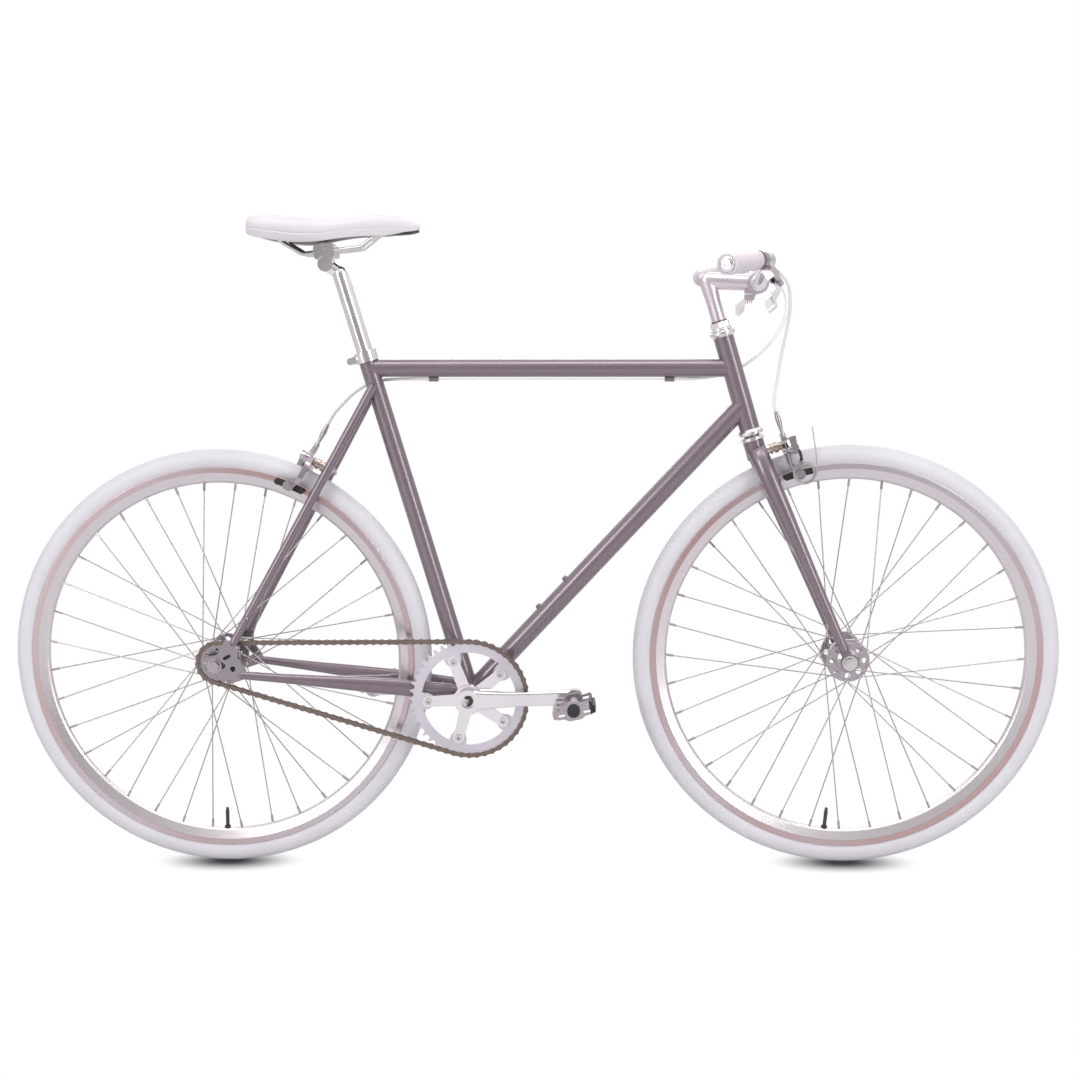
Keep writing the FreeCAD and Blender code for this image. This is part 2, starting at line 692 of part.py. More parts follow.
def valve(centre, degrees, rim_solid):
    inner = RIM_RADIUS - RIM_DEPTH
    out = unit(polar(ORIGIN, 1.0, degrees))
    base = centre + out * (inner + 8.0)
    tip = centre + out * (inner - VALVE_LENGTH)
    stem = cylinder(base, tip + out * 10, 3.0)
    nut = cylinder(centre + out * (inner - 3.5), centre + out * inner, 5.0).cut(cylinder(base, tip, 3.0))
    cap = cone(tip + out * 10, tip, 3.4, 2.2)
    return Part.makeCompound([stem, nut.cut(rim_solid), cap])


def wheel(prefix, centre, flange_y, half_width, first_spoke, valve_angle):
    rim_solid, chamber = rim(centre)
    out = unit(polar(ORIGIN, 1.0, valve_angle))
    hole = cylinder(centre + out * (RIM_RADIUS - RIM_DEPTH - 5), centre + out * RIM_RADIUS, 3.1)
    save(prefix + "_rim", rim_solid.cut(chamber).cut(hole))
    save(prefix + "_tyre", tyre(centre))
    save(prefix + "_hub", hub(centre, flange_y, half_width, first_spoke))
    save(prefix + "_spokes", spokes(centre, flange_y, first_spoke, rim_solid))
    save(prefix + "_valve", valve(centre, valve_angle, rim_solid))


# Chain drive
def sprocket(centre, teeth, first_seat, y_middle):
    pitch_radius = CHAIN_PITCH / (2 * math.sin(math.pi / teeth))
    step = 360.0 / teeth
    seat = ROLLER_RADIUS + ROLLER_CLEARANCE
    tip_radius = pitch_radius + TOOTH_HEIGHT
    edges = []
    last = None
    first = None
    y = y_middle - SPROCKET_THICKNESS / 2
    for i in range(teeth):
        angle = first_seat + i * step
        pin = polar(centre, pitch_radius, angle, y)
        entry = polar(pin, seat, angle + 180 + 72, y)
        bottom = polar(pin, seat, angle + 180, y)
        leave = polar(pin, seat, angle + 180 - 72, y)
        tip_angle = math.degrees(TOOTH_TIP / 2 / tip_radius)
        tip_in = polar(centre, tip_radius, angle - step / 2 + tip_angle, y)
        tip_out = polar(centre, tip_radius, angle + step / 2 - tip_angle, y)
        if last is None:
            first = tip_in
        else:
            edges.append(Part.LineSegment(last, tip_in).toShape())
        edges.append(Part.LineSegment(tip_in, entry).toShape())
        edges.append(Part.Arc(entry, bottom, leave).toShape())
        edges.append(Part.LineSegment(leave, tip_out).toShape())
        last = tip_out
    edges.append(Part.LineSegment(last, first).toShape())
    return Part.Face(Part.Wire(edges)).extrude(Y_AXIS * SPROCKET_THICKNESS)


TO_REAR = unit(REAR_HUB - BRACKET)
REARWARD_ANGLE = math.degrees(math.atan2(TO_REAR.z, TO_REAR.x))


def chain_pins():
    pins = []
    for i in range(COG_WRAP + 1):
        pins.append(polar(REAR_HUB, COG_PITCH_RADIUS, REARWARD_ANGLE + COG_EXIT - i * COG_STEP))
    lower_end = polar(BRACKET, RING_PITCH_RADIUS, REARWARD_ANGLE - RING_EXIT)
    step = (lower_end - pins[-1]) * (1.0 / CHAIN_RUN_LINKS)
    start = pins[-1]
    for i in range(1, CHAIN_RUN_LINKS):
        pins.append(start + step * i)
    for i in range(RING_WRAP + 1):
        pins.append(polar(BRACKET, RING_PITCH_RADIUS, REARWARD_ANGLE - RING_EXIT - i * RING_STEP))
    start = pins[-1]
    step = (pins[0] - start) * (1.0 / CHAIN_RUN_LINKS)
    for i in range(1, CHAIN_RUN_LINKS):
        pins.append(start + step * i)
    return pins


def link_plate(y_from):
    end_radius = 4.2
    waist = 2.9
    half = CHAIN_PITCH / 2
    lean = math.radians(52)
    edges = []

    def point(x, z):
        return Vector(x, y_from, z)

    dx = end_radius * math.cos(lean)
    dz = end_radius * math.sin(lean)
    for way in (1, -1):
        before = point(way * (half - dx), way * dz)
        after = point(way * (half - dx), -way * dz)
        opposite = point(-way * (half - dx), -way * dz)
        edges.append(Part.Arc(before, point(way * (half + end_radius), 0), after).toShape())
        edges.append(Part.Arc(after, point(0, -way * waist), opposite).toShape())
    return Part.Face(Part.Wire(edges)).extrude(Y_AXIS * LINK_PLATE)


def chain():
    half = ROLLER_LENGTH / 2
    inner = [link_plate(half), link_plate(-half - LINK_PLATE)]
    outer_at = half + LINK_PLATE
    outer = []
    for side in SIDES:
        plate = link_plate(min(side * outer_at, side * (outer_at + LINK_PLATE)))
        heads = []
        for end in (-CHAIN_PITCH / 2, CHAIN_PITCH / 2):
            face = side * (outer_at + LINK_PLATE)
            heads.append(across(Vector(end, 0, 0), face, face + side * 0.6, 1.9))
        outer.append(plate.fuse(heads))
    roller = across(ORIGIN, -half, half, ROLLER_RADIUS)
    solids = []
    pins = chain_pins()
    for i, pin in enumerate(pins):
        after = pins[(i + 1) % len(pins)]
        middle = (pin + after) * 0.5
        angle = math.degrees(math.atan2(after.z - pin.z, after.x - pin.x))
        turn = FreeCAD.Rotation(Y_AXIS, -angle)
        place = FreeCAD.Placement(Vector(middle.x, -CHAIN_LINE, middle.z), turn)
        for piece in (inner if i % 2 == 0 else outer):
            link = piece.copy()
            link.Placement = place
            solids.append(link)
        bead = roller.copy()
        bead.Placement = FreeCAD.Placement(Vector(pin.x, -CHAIN_LINE, pin.z), FreeCAD.Rotation())
        solids.append(bead)
    return Part.makeCompound(solids)


def cog():
    """The fixed cog with its slots, and the lockring that holds it on the hub."""
    disc = sprocket(REAR_HUB, COG_TEETH, REARWARD_ANGLE + COG_STEP / 2, -CHAIN_LINE)
    inside = -CHAIN_LINE + SPROCKET_THICKNESS / 2
    outside = -CHAIN_LINE - SPROCKET_THICKNESS / 2
    cuts = [across(REAR_HUB, inside + 1, outside - 1, CARRIER_RADIUS)]
    for i in range(8):
        cuts.append(across(polar(REAR_HUB, 22.0, 45.0 * i), inside + 1, outside - 1, 3.0))
    lockring = across(REAR_HUB, outside, outside - 4.0, 17.0)
    notches = [across(REAR_HUB, outside, outside - 4.0, CARRIER_RADIUS)]
    for i in range(6):
        notches.append(across(polar(REAR_HUB, 17.5, 60.0 * i), outside, outside - 4.0, 2.2))
    return disc.cut(cuts), lockring.cut(notches)


def chainring():
    first_seat = REARWARD_ANGLE + RING_STEP / 2
    ring = sprocket(BRACKET, RING_TEETH, first_seat, -CHAIN_LINE)
    low = -CHAIN_LINE - SPROCKET_THICKNESS
    high = -CHAIN_LINE + SPROCKET_THICKNESS
    opening = across(BRACKET, low, high, 75.5)
    lobes = []
    holes = []
    for angle in spider_angles():
        spot = polar(BRACKET, BOLT_CIRCLE, angle)
        lobes.append(across(spot, low, high, 11.5))
        out = polar(ORIGIN, 1, angle)
        turned = polar(ORIGIN, 1, angle + 90)
        root = ((55, -11.5), (80, -15), (80, 15), (55, 11.5))
        web = slab(root, Vector(BRACKET.x, low, BRACKET.z), out, turned, Y_AXIS * (high - low))
        lobes.append(web.cut(across(BRACKET, low, high, BOLT_CIRCLE)))
        holes.append(across(spot, low, high, CHAINRING_BOLT_RADIUS))
    return ring.cut(opening.cut(lobes)).cut(holes)


def spider_angles():
    return [CRANK_ANGLE + 36 + 72 * i for i in range(5)]


# Cranks and pedals
SPINDLE_RADIUS = 8.5
SPIDER_THICKNESS = 5.0
CRANK_INNER_Y = 48.0
CRANK_BOSS_Y = 66.0
PEDAL_EYE_IN = 64.0
PEDAL_EYE_OUT = 77.0
PEDAL_IN = 101.0
PEDAL_OUT = 160.0
PEDAL_TILT = 10.8
PEDAL_THREAD_RADIUS = 7.0
PEDAL_AXLE_RADIUS = 5.0
CHAINRING_BOLT_RADIUS = 5.0
CRANK_SECTIONS = (
    (6, 17, 7.5, 56), (40, 13.5, 6.5, 60), (105, 11.5, 6, 65.5), (CRANK_LENGTH - 2, 12, 6.3, 70),
)


def crank_arm(side):
    angle = CRANK_ANGLE if side == RIGHT else CRANK_ANGLE + 180
    out = polar(ORIGIN, 1, angle)
    up = polar(ORIGIN, 1, angle + 90)
    eye = BRACKET + out * CRANK_LENGTH
    sections = []
    for distance, tall, thick, y in CRANK_SECTIONS:
        centre = BRACKET + out * distance + Y_AXIS * (side * y)
        sections.append(ellipse_like(centre, up, Y_AXIS, tall, thick))
    bar = Part.makeLoft(sections, True, False)
    boss = across(BRACKET, side * CRANK_INNER_Y, side * CRANK_BOSS_Y, 18.5)
    lug = across(eye, side * PEDAL_EYE_IN, side * PEDAL_EYE_OUT, 13.5)
    arm = boss.fuse([bar, lug])
    bolt_well = across(BRACKET, side * (CRANK_BOSS_Y - 6), side * (CRANK_BOSS_Y + 12), 11.0)
    spindle_hole = across(BRACKET, side * (CRANK_INNER_Y - 2), side * (CRANK_BOSS_Y + 2), SPINDLE_RADIUS)
    pedal_hole = across(eye, side * (PEDAL_EYE_IN - 6), side * (PEDAL_EYE_OUT + 6), PEDAL_THREAD_RADIUS)
    return arm.cut([bolt_well, spindle_hole, pedal_hole])


def ellipse_like(centre, tall_axis, wide_axis, tall, wide):
    corners = []
    for a, b in ((-1, -1), (-1, 1), (1, 1), (1, -1)):
        corners.append((centre + tall_axis * (a * tall) + wide_axis * (b * wide), wide * 0.62))
    return rounded_wire(corners)


def right_crank():
    y_in = -(CHAIN_LINE + SPROCKET_THICKNESS / 2)
    solids = []
    holes = []
    for angle in spider_angles():
        out = polar(ORIGIN, 1, angle)
        up = polar(ORIGIN, 1, angle + 90)
        tip = BOLT_CIRCLE + 8.5
        outline = ((0, -14), (26, -9.5, 14), (tip, -8.5, 8), (tip, 8.5, 8), (26, 9.5, 14), (0, 14))
        origin = Vector(BRACKET.x, y_in, BRACKET.z)
        solids.append(slab(outline, origin, out, up, Y_AXIS * -SPIDER_THICKNESS))
        holes.append(across(polar(BRACKET, BOLT_CIRCLE, angle), y_in - 8, y_in + 8, CHAINRING_BOLT_RADIUS))
    hub_disc = across(BRACKET, y_in, y_in - 9, 24.0)
    spider = hub_disc.fuse(solids).cut(across(BRACKET, y_in - 9, y_in + 1, SPINDLE_RADIUS))
    whole = crank_arm(RIGHT).fuse(spider)
    return whole.cut(holes + [across(BRACKET, y_in - 12, y_in + 2, SPINDLE_RADIUS)]).removeSplitter()


def spindle_and_bolts():
    solids = []
    end = CRANK_BOSS_Y - 6.0
    solids.append(across(BRACKET, -end, end, SPINDLE_RADIUS))
    for side in SIDES:
        head = across(BRACKET, side * end, side * (end + 4.5), 8.0)
        solids.append(head.cut(across(BRACKET, side * (end + 1), side * (end + 5), 4.0)))
    outside = -(CHAIN_LINE + SPROCKET_THICKNESS / 2 + SPIDER_THICKNESS)
    inside = -(CHAIN_LINE - SPROCKET_THICKNESS / 2)
    for angle in spider_angles():
        spot = polar(BRACKET, BOLT_CIRCLE, angle)
        bolt = across(spot, inside, outside, CHAINRING_BOLT_RADIUS)
        cap = across(spot, outside, outside - 1.6, 6.2)
        nut = across(spot, inside, inside + 1.5, 6.2)
        solids.append(bolt.fuse([cap, nut]).cut(across(spot, outside - 2, outside + 4, 2.8)))
    return Part.makeCompound(solids)


def pedal_centre(side):
    angle = CRANK_ANGLE if side == RIGHT else CRANK_ANGLE + 180
    return polar(BRACKET, CRANK_LENGTH, angle)


def pedal_axle(side):
    centre = pedal_centre(side)
    thread = across(centre, side * PEDAL_EYE_IN, side * PEDAL_EYE_OUT, PEDAL_THREAD_RADIUS)
    collar = across(centre, side * PEDAL_EYE_OUT, side * (PEDAL_EYE_OUT + 6), 9.0)
    neck = across(centre, side * (PEDAL_EYE_OUT + 6), side * (PEDAL_OUT - 3), PEDAL_AXLE_RADIUS)
    return thread.fuse([collar, neck])


def pedal(side):
    centre = pedal_centre(side)
    tilt = math.radians(PEDAL_TILT)
    ahead = Vector(math.cos(tilt), 0, math.sin(tilt))
    above = Vector(-math.sin(tilt), 0, math.cos(tilt))
    bore = across(centre, side * PEDAL_EYE_OUT, side * (PEDAL_OUT - 2), PEDAL_AXLE_RADIUS + RUNNING_FIT)
    barrel = across(centre, side * (PEDAL_EYE_OUT + 6 + FACE_GAP), side * PEDAL_OUT, 10.5)
    half = 29.0
    outline = (
        (-half, -10, 3), (-16, -11, 6), (-10, -15, 6), (10, -15, 6), (16, -11, 6), (half, -10, 3),
        (half, 11, 3), (13, 9, 5), (9, 14, 5), (-9, 14, 5), (-13, 9, 5), (-half, 11, 3),
    )
    windows = (((13, -7, 1.5), (26, -7, 1.5), (26, -3, 1.5), (15, -3, 1.5)),
               ((13, 2.5, 1.5), (26, 2.5, 1.5), (26, 7, 1.5), (14, 6, 1.5)))
    solids = []
    for y in (PEDAL_IN, PEDAL_OUT - 4):
        plate = slab(outline, Vector(centre.x, side * y, centre.z), ahead, above, Y_AXIS * (side * 4))
        cut_from = Vector(centre.x, side * (y - 1), centre.z)
        cuts = []
        for window in windows:
            for flip in (-1, 1):
                points = [(flip * a, b, r) for a, b, r in window]
                cuts.append(slab(points, cut_from, ahead, above, Y_AXIS * (side * 6)))
        solids.append(plate.cut(cuts))
    for flip in (-1, 1):
        outer_x = flip * half
        inner_x = flip * (half - 4)
        bar = ((outer_x, -9, 1), (inner_x, -9, 1), (inner_x, 10, 1), (outer_x, 10, 1))
        bar_from = Vector(centre.x, side * (PEDAL_IN + 2), centre.z)
        solids.append(slab(bar, bar_from, ahead, above, Y_AXIS * (side * (PEDAL_OUT - PEDAL_IN - 4))))
    body = barrel.fuse(solids).cut(bore)
    reflectors = []
    for flip in (-1, 1):
        near_x = flip * half
        far_x = flip * (half + 4)
        block = ((near_x, -10, 1), (far_x, -9, 1), (far_x, 3, 1), (near_x, 3, 1))
        block_from = Vector(centre.x, side * (PEDAL_IN + 6), centre.z)
        reflectors.append(slab(block, block_from, ahead, above, Y_AXIS * (side * (PEDAL_OUT - PEDAL_IN - 9))))
    cap = across(centre, side * PEDAL_OUT, side * (PEDAL_OUT + 5), 9.8)
    return Part.makeCompound([body] + reflectors + [cap])


# Fork
CROWN_HEIGHT = 690.5
CROWN_RADIUS = 16.5
CROWN_DEPTH = 30.0
BLADE_LINE = unit(Vector(-0.3979, 0, 0.9174))
FORK_END_Y = 52.5
FORK_END_THICKNESS = 5.0
BLADE_FOOT_RISE = 24.0
BRAKE_BOLT_HEIGHT = 670.0
BLADE_SECTIONS = (
    (BLADE_FOOT_RISE, FORK_END_Y, 7.6, 6.5), (90, 49.5, 8.6, 7.6), (170, 45.5, 10.2, 9.2),
    (260, 41.0, 12.6, 11.0), (325, 34.0, 14.2, 12.0), (352, 25.0, 15.0, 12.5), (368, 12.0, 15.6, 13.0),
)


def blade_centre(rise, y):
    return FRONT_HUB + BLADE_LINE * rise + Y_AXIS * y


def blade(side):
    ahead = unit(Y_AXIS.cross(BLADE_LINE))
    sections = []
    for rise, y, deep, wide in BLADE_SECTIONS:
        sections.append(ellipse_wire(blade_centre(rise, side * y), ahead, Y_AXIS, deep, wide))
    return Part.makeLoft(sections, True, False)


def fork():
    crown_top = steer_point(CROWN_HEIGHT)
    crown_foot = crown_top - UP_STEER * CROWN_DEPTH
    steerer_top = steer_point(STEERER_TOP_HEIGHT)
    crown = cylinder(crown_foot, crown_top, CROWN_RADIUS)
    steerer = cylinder(crown_top, steerer_top, STEERER_RADIUS)
    body = crown.fuse([blade(-1), blade(1), steerer])
    bore = cylinder(steer_point(STEERER_BORE_FOOT), steerer_top, QUILL_RADIUS)
    bolt_from = steer_point(BRAKE_BOLT_HEIGHT) - AHEAD_STEER * 40
    bolt_to = steer_point(BRAKE_BOLT_HEIGHT) + AHEAD_STEER * 40
    ends = []
    tips = []
    for side in SIDES:
        inner = side * (FORK_END_Y - FORK_END_THICKNESS / 2)
        outer = side * (FORK_END_Y + FORK_END_THICKNESS / 2)
        corner_at = Vector(FRONT_HUB.x, inner, FRONT_HUB.z)
        depth = Y_AXIS * (outer - inner)
        top = BLADE_FOOT_RISE + 8
        neck_outline = ((-8, 0), (-8, top, 3), (8, top, 3), (8, 0))
        neck = slab(neck_outline, corner_at, unit(Y_AXIS.cross(BLADE_LINE)), BLADE_LINE, depth)
        disc = across(FRONT_HUB, inner, outer, 14.0)
        half = AXLE_RADIUS + 0.2
        slot_outline = ((-half, 0), (half, 0), (half, 20), (-half, 20))
        slot = slab(slot_outline, corner_at, AHEAD_STEER, UP_STEER * -1, depth)
        tips.append(Part.makeSphere(6.6, blade_centre(BLADE_FOOT_RISE, side * FORK_END_Y)))
        ends.append(disc.fuse(neck).cut([slot, across(FRONT_HUB, inner, outer, half)]))
    body = body.fuse(tips).fuse(ends)
    return body.cut([bore, cylinder(bolt_from, bolt_to, PIVOT_RADIUS)])


def crown_race():
    low = steer_point(CROWN_HEIGHT)
    outline = ((STEERER_RADIUS, 0), (18.5, 0, 1), (18.0, 5, 1), (STEERER_RADIUS, 6))
    return lathe(outline, low, UP_STEER)


def headset_top():
    low = HEAD_TOP + UP_STEER * (CUP_HEIGHT + FACE_GAP)
    washer = lathe(((STEERER_RADIUS, 0), (17.0, 0, 1), (17.0, 3.5, 1), (STEERER_RADIUS, 3.5)), low, UP_STEER)
    ring = lathe(((STEERER_RADIUS, 3.5), (15.0, 3.5), (15.0, 6), (STEERER_RADIUS, 6)), low, UP_STEER)
    nut = slab(hexagon(16.5), low + UP_STEER * 6, Y_AXIS, AHEAD_STEER, UP_STEER * 7.5)
    nut = nut.cut(cylinder(low, low + UP_STEER * 20, STEERER_RADIUS))
    return Part.makeCompound([washer, ring, nut, crown_race()])


# Stem and handlebar
def stem():
    corner_point = steer_point(STEM_HEIGHT)
    foot = steer_point(QUILL_FOOT_HEIGHT)
    quill = cylinder(foot, corner_point, QUILL_RADIUS)
    run = unit(BAR_CENTRE - corner_point)
    neck = cone(corner_point, BAR_CENTRE - run * 8, 13.5, 12.4)
    elbow = Part.makeSphere(13.4, corner_point)
    throat = cone(steer_point(STEM_HEIGHT - 34), corner_point, QUILL_RADIUS, 13.4)
    collar = across(BAR_CENTRE, -20.0, 20.0, 17.0)
    lug_outline = ((-19, -27, 3), (-5, -27, 3), (-2, -10), (-19, -8))
    lug = slab(lug_outline, BAR_CENTRE - Y_AXIS * 9.0, X_AXIS, Z_AXIS, Y_AXIS * 18.0)
    body = quill.fuse([neck, elbow, throat, collar, lug])
    bolt_at = BAR_CENTRE + Vector(-11.5, 0, 0)
    top_bolt = corner_point + UP_STEER * 9.0
    well = cylinder(top_bolt, top_bolt + UP_STEER * 8, 5.2)
    bolt = cylinder(bolt_at - Z_AXIS * 31, bolt_at - Z_AXIS * 27, 4.0)
    body = body.cut([across(BAR_CENTRE, -21.0, 21.0, BAR_SLEEVE_RADIUS), well])
    slit_outline = ((-30, -16.0), (-4, -16.0), (-4, -17.6), (-30, -17.6))
    slit = slab(slit_outline, BAR_CENTRE - Y_AXIS * 10.0, X_AXIS, Z_AXIS, Y_AXIS * 20.0)
    return Part.makeCompound(body.cut(slit).Solids + [bolt])


def bar_points(side):
    return [
        mirrored_y(BAR_CENTRE, side), mirrored_y(BAR_CENTRE + Y_AXIS * 46, side),
        mirrored_y(BAR_BEND, side), mirrored_y(BAR_END, side),
    ]


BAR_RUN = unit(BAR_BEND - BAR_END)


def handlebar():
    left = bar_points(LEFT)
    right = bar_points(RIGHT)
    points = list(reversed(right))[:-1] + left[1:]
    bar = swept(points, BAR_RADIUS, BAR_BEND_RADIUS)
    bores = []
    for side in SIDES:
        end = mirrored_y(BAR_END, side)
        bores.append(cylinder(end, end + mirrored_y(BAR_RUN, side) * GRIP_LENGTH, BAR_RADIUS - 2.0))
    sleeve = across(BAR_CENTRE, -30.0, 30.0, BAR_SLEEVE_RADIUS)
    tapers = []
    for side in SIDES:
        sleeve_end = BAR_CENTRE + Y_AXIS * (30.0 * side)
        tapers.append(cone(sleeve_end, sleeve_end + Y_AXIS * (3.0 * side), BAR_SLEEVE_RADIUS, BAR_RADIUS))
    return bar.fuse([sleeve] + tapers).cut(bores)


def bar_point(side, y):
    point = BAR_END + BAR_RUN * ((y - BAR_END.y) / BAR_RUN.y)
    return mirrored_y(point, side)


def grips():
    solids = []
    for side in SIDES:
        run = mirrored_y(BAR_RUN, side)
        end = mirrored_y(BAR_END, side)
        grip = cylinder(end, end + run * GRIP_LENGTH, GRIP_RADIUS)
        rims = [edge for edge in grip.Edges if abs(edge.Length - 2 * math.pi * GRIP_RADIUS) < 0.1]
        grip = grip.makeFillet(2.5, rims)
        solids.append(grip.cut(cylinder(end - run * 5, end + run * (GRIP_LENGTH + 5), BAR_RADIUS)))
    return Part.makeCompound(solids)


def bar_plugs():
    solids = []
    for side in SIDES:
        run = mirrored_y(BAR_RUN, side)
        end = mirrored_y(BAR_END, side)
        plug_outline = ((0, 0), (BAR_RADIUS, 0), (BAR_RADIUS, 2.0, 1.5), (7.0, 4.5, 2), (0, 4.5))
        plug = lathe(plug_outline, end, run * -1)
        shank = cylinder(end, end + run * 14, BAR_RADIUS - 2.0)
        well = cylinder(end - run * 6, end - run * 1.5, 3.0)
        solids.append(plug.fuse(shank).cut(well))
    return Part.makeCompound(solids)


# Brake levers
LEVER_CABLE_RISE = 25.0
LEVER_CABLE_START = 27.0


def lever_frame(side):
    origin = bar_point(side, LEVER_POSITION)
    inboard = mirrored_y(BAR_RUN, side)
    slant = math.radians(LEVER_SLANT)
    ahead = Vector(math.cos(slant), 0, math.sin(slant))
    ahead = unit(ahead - inboard * ahead.dot(inboard))
    return origin, inboard, ahead, unit(inboard.cross(ahead))


def lever_cable_start(side):
    origin, inboard, ahead = lever_frame(side)[:3]
    return origin + ahead * LEVER_CABLE_RISE + inboard * LEVER_CABLE_START, inboard


def lever_bracket(side):
    """The bar clamp with its screw, the forked pivot and the cable's adjusting barrel."""
    origin, inboard, ahead, normal = lever_frame(side)
    ring = cylinder(origin - inboard * 8, origin + inboard * 8, BAR_RADIUS + 3.4)
    end = LEVER_PIVOT_OUT + 7
    outline = (
        (-8, 9), (-9, 34, 4), (-7, end, 6), (9, end, 6), (16, 34, 5), (24, 30, 3), (24, 20, 3),
        (8, 16, 5), (8, 9),
    )
    width = 2 * LEVER_HALF_WIDTH
    body = slab(outline, origin - normal * LEVER_HALF_WIDTH, inboard, ahead, normal * width)
    floor = LEVER_PIVOT_OUT - 9.5
    pocket_outline = ((-20, floor), (14, floor, 2), (14, end + 5), (-20, end + 5))
    pocket_width = width - 2 * LEVER_WALL
    pocket_from = origin - normal * (pocket_width / 2)
    pocket = slab(pocket_outline, pocket_from, inboard, ahead, normal * pocket_width)
    barrel_from = origin + ahead * LEVER_CABLE_RISE + inboard * 24
    barrel = cylinder(barrel_from, barrel_from + inboard * 9, 4.6)
    tip = cone(barrel_from + inboard * 9, barrel_from + inboard * 13, 4.6, 3.6)
    socket = cylinder(barrel_from + inboard * 3, barrel_from + inboard * 14, CABLE_RADIUS)
    pivot_at = origin + ahead * LEVER_PIVOT_OUT
    pin_half = LEVER_HALF_WIDTH + 1.2
    pin = cylinder(pivot_at - normal * pin_half, pivot_at + normal * pin_half, LEVER_PIN_RADIUS)
    screw_at = origin + ahead * (BAR_RADIUS + 7.0) - inboard * 2.0
    screw = cylinder(screw_at - normal * 8, screw_at + normal * 8, 3.4)
    screw_socket = cylinder(screw_at - normal * 9, screw_at - normal * 5.5, 1.8)
    bar_hole = cylinder(origin - inboard * 30, origin + inboard * 30, BAR_RADIUS)
    body = ring.fuse(body).cut([bar_hole, pocket])
    return body.fuse([barrel, tip, pin, screw]).cut([socket, screw_socket])


def lever_blade(side):
    """The curved finger lever, with a broad hand face beyond its narrow pivot end."""
    origin, inboard, ahead, normal = lever_frame(side)
    pivot_at = origin + ahead * LEVER_PIVOT_OUT
    root = LEVER_PIVOT_OUT
    outline = (
        (9, root - 6, 3), (9, root + 6, 5), (-6, root + 10, 8), (-40, 63, 30), (-86, 73, 20), (-103, 86, 3),
        (-107, 80, 4), (-88, 64, 20), (-40, 53, 30), (-14, 42, 8), (-6, root - 7, 3),
    )
    wide = 2 * (LEVER_HALF_WIDTH - LEVER_WALL - FACE_GAP)
    blade_body = slab(outline, origin - normal * (wide / 2), inboard, ahead, normal * wide)
    hand_outline = (
        (-29, 50.5, 3), (-31, 60, 3), (-46, 64, 12), (-86, 73.5, 15), (-102, 86, 2.5), (-107.5, 80.5, 3),
        (-88, 64, 15), (-46, 54, 12),
    )
    hand = slab(hand_outline, origin - normal * 7.0, inboard, ahead, normal * 14.0)
    hole = cylinder(pivot_at - normal * 10, pivot_at + normal * 10, LEVER_PIN_RADIUS + RUNNING_FIT)
    return blade_body.fuse(hand).cut(hole)


# Brake callipers
FRONT_BRAKE_DEPTH = 48.0
FRONT_BRAKE = steer_point(BRAKE_BOLT_HEIGHT) + AHEAD_STEER * FRONT_BRAKE_DEPTH
FRONT_AXES = (AHEAD_STEER, Y_AXIS, UP_STEER)
REAR_AXES = (REAR_OUT, Y_AXIS * -1, STAY_DOWN * -1)
INNER_LAYER = -1
OUTER_LAYER = 1
PAD_INNER = RIM_WIDTH / 2 + PAD_GAP
STUD_OUT = 41.0


def strap(start, end, start_half, end_half):
    """The outline of a rounded bar between two points in (side, up) places."""
    run = unit(Vector(end[0] - start[0], 0, end[1] - start[1]))
    corners = []
    for place, half, way in ((start, start_half, -1), (end, end_half, 1)):
        for turn in (way, -way):
            a = place[0] + run.x * half * way - run.z * half * turn
            b = place[1] + run.z * half * way + run.x * half * turn
            corners.append((a, b, half * 0.9))
    return corners


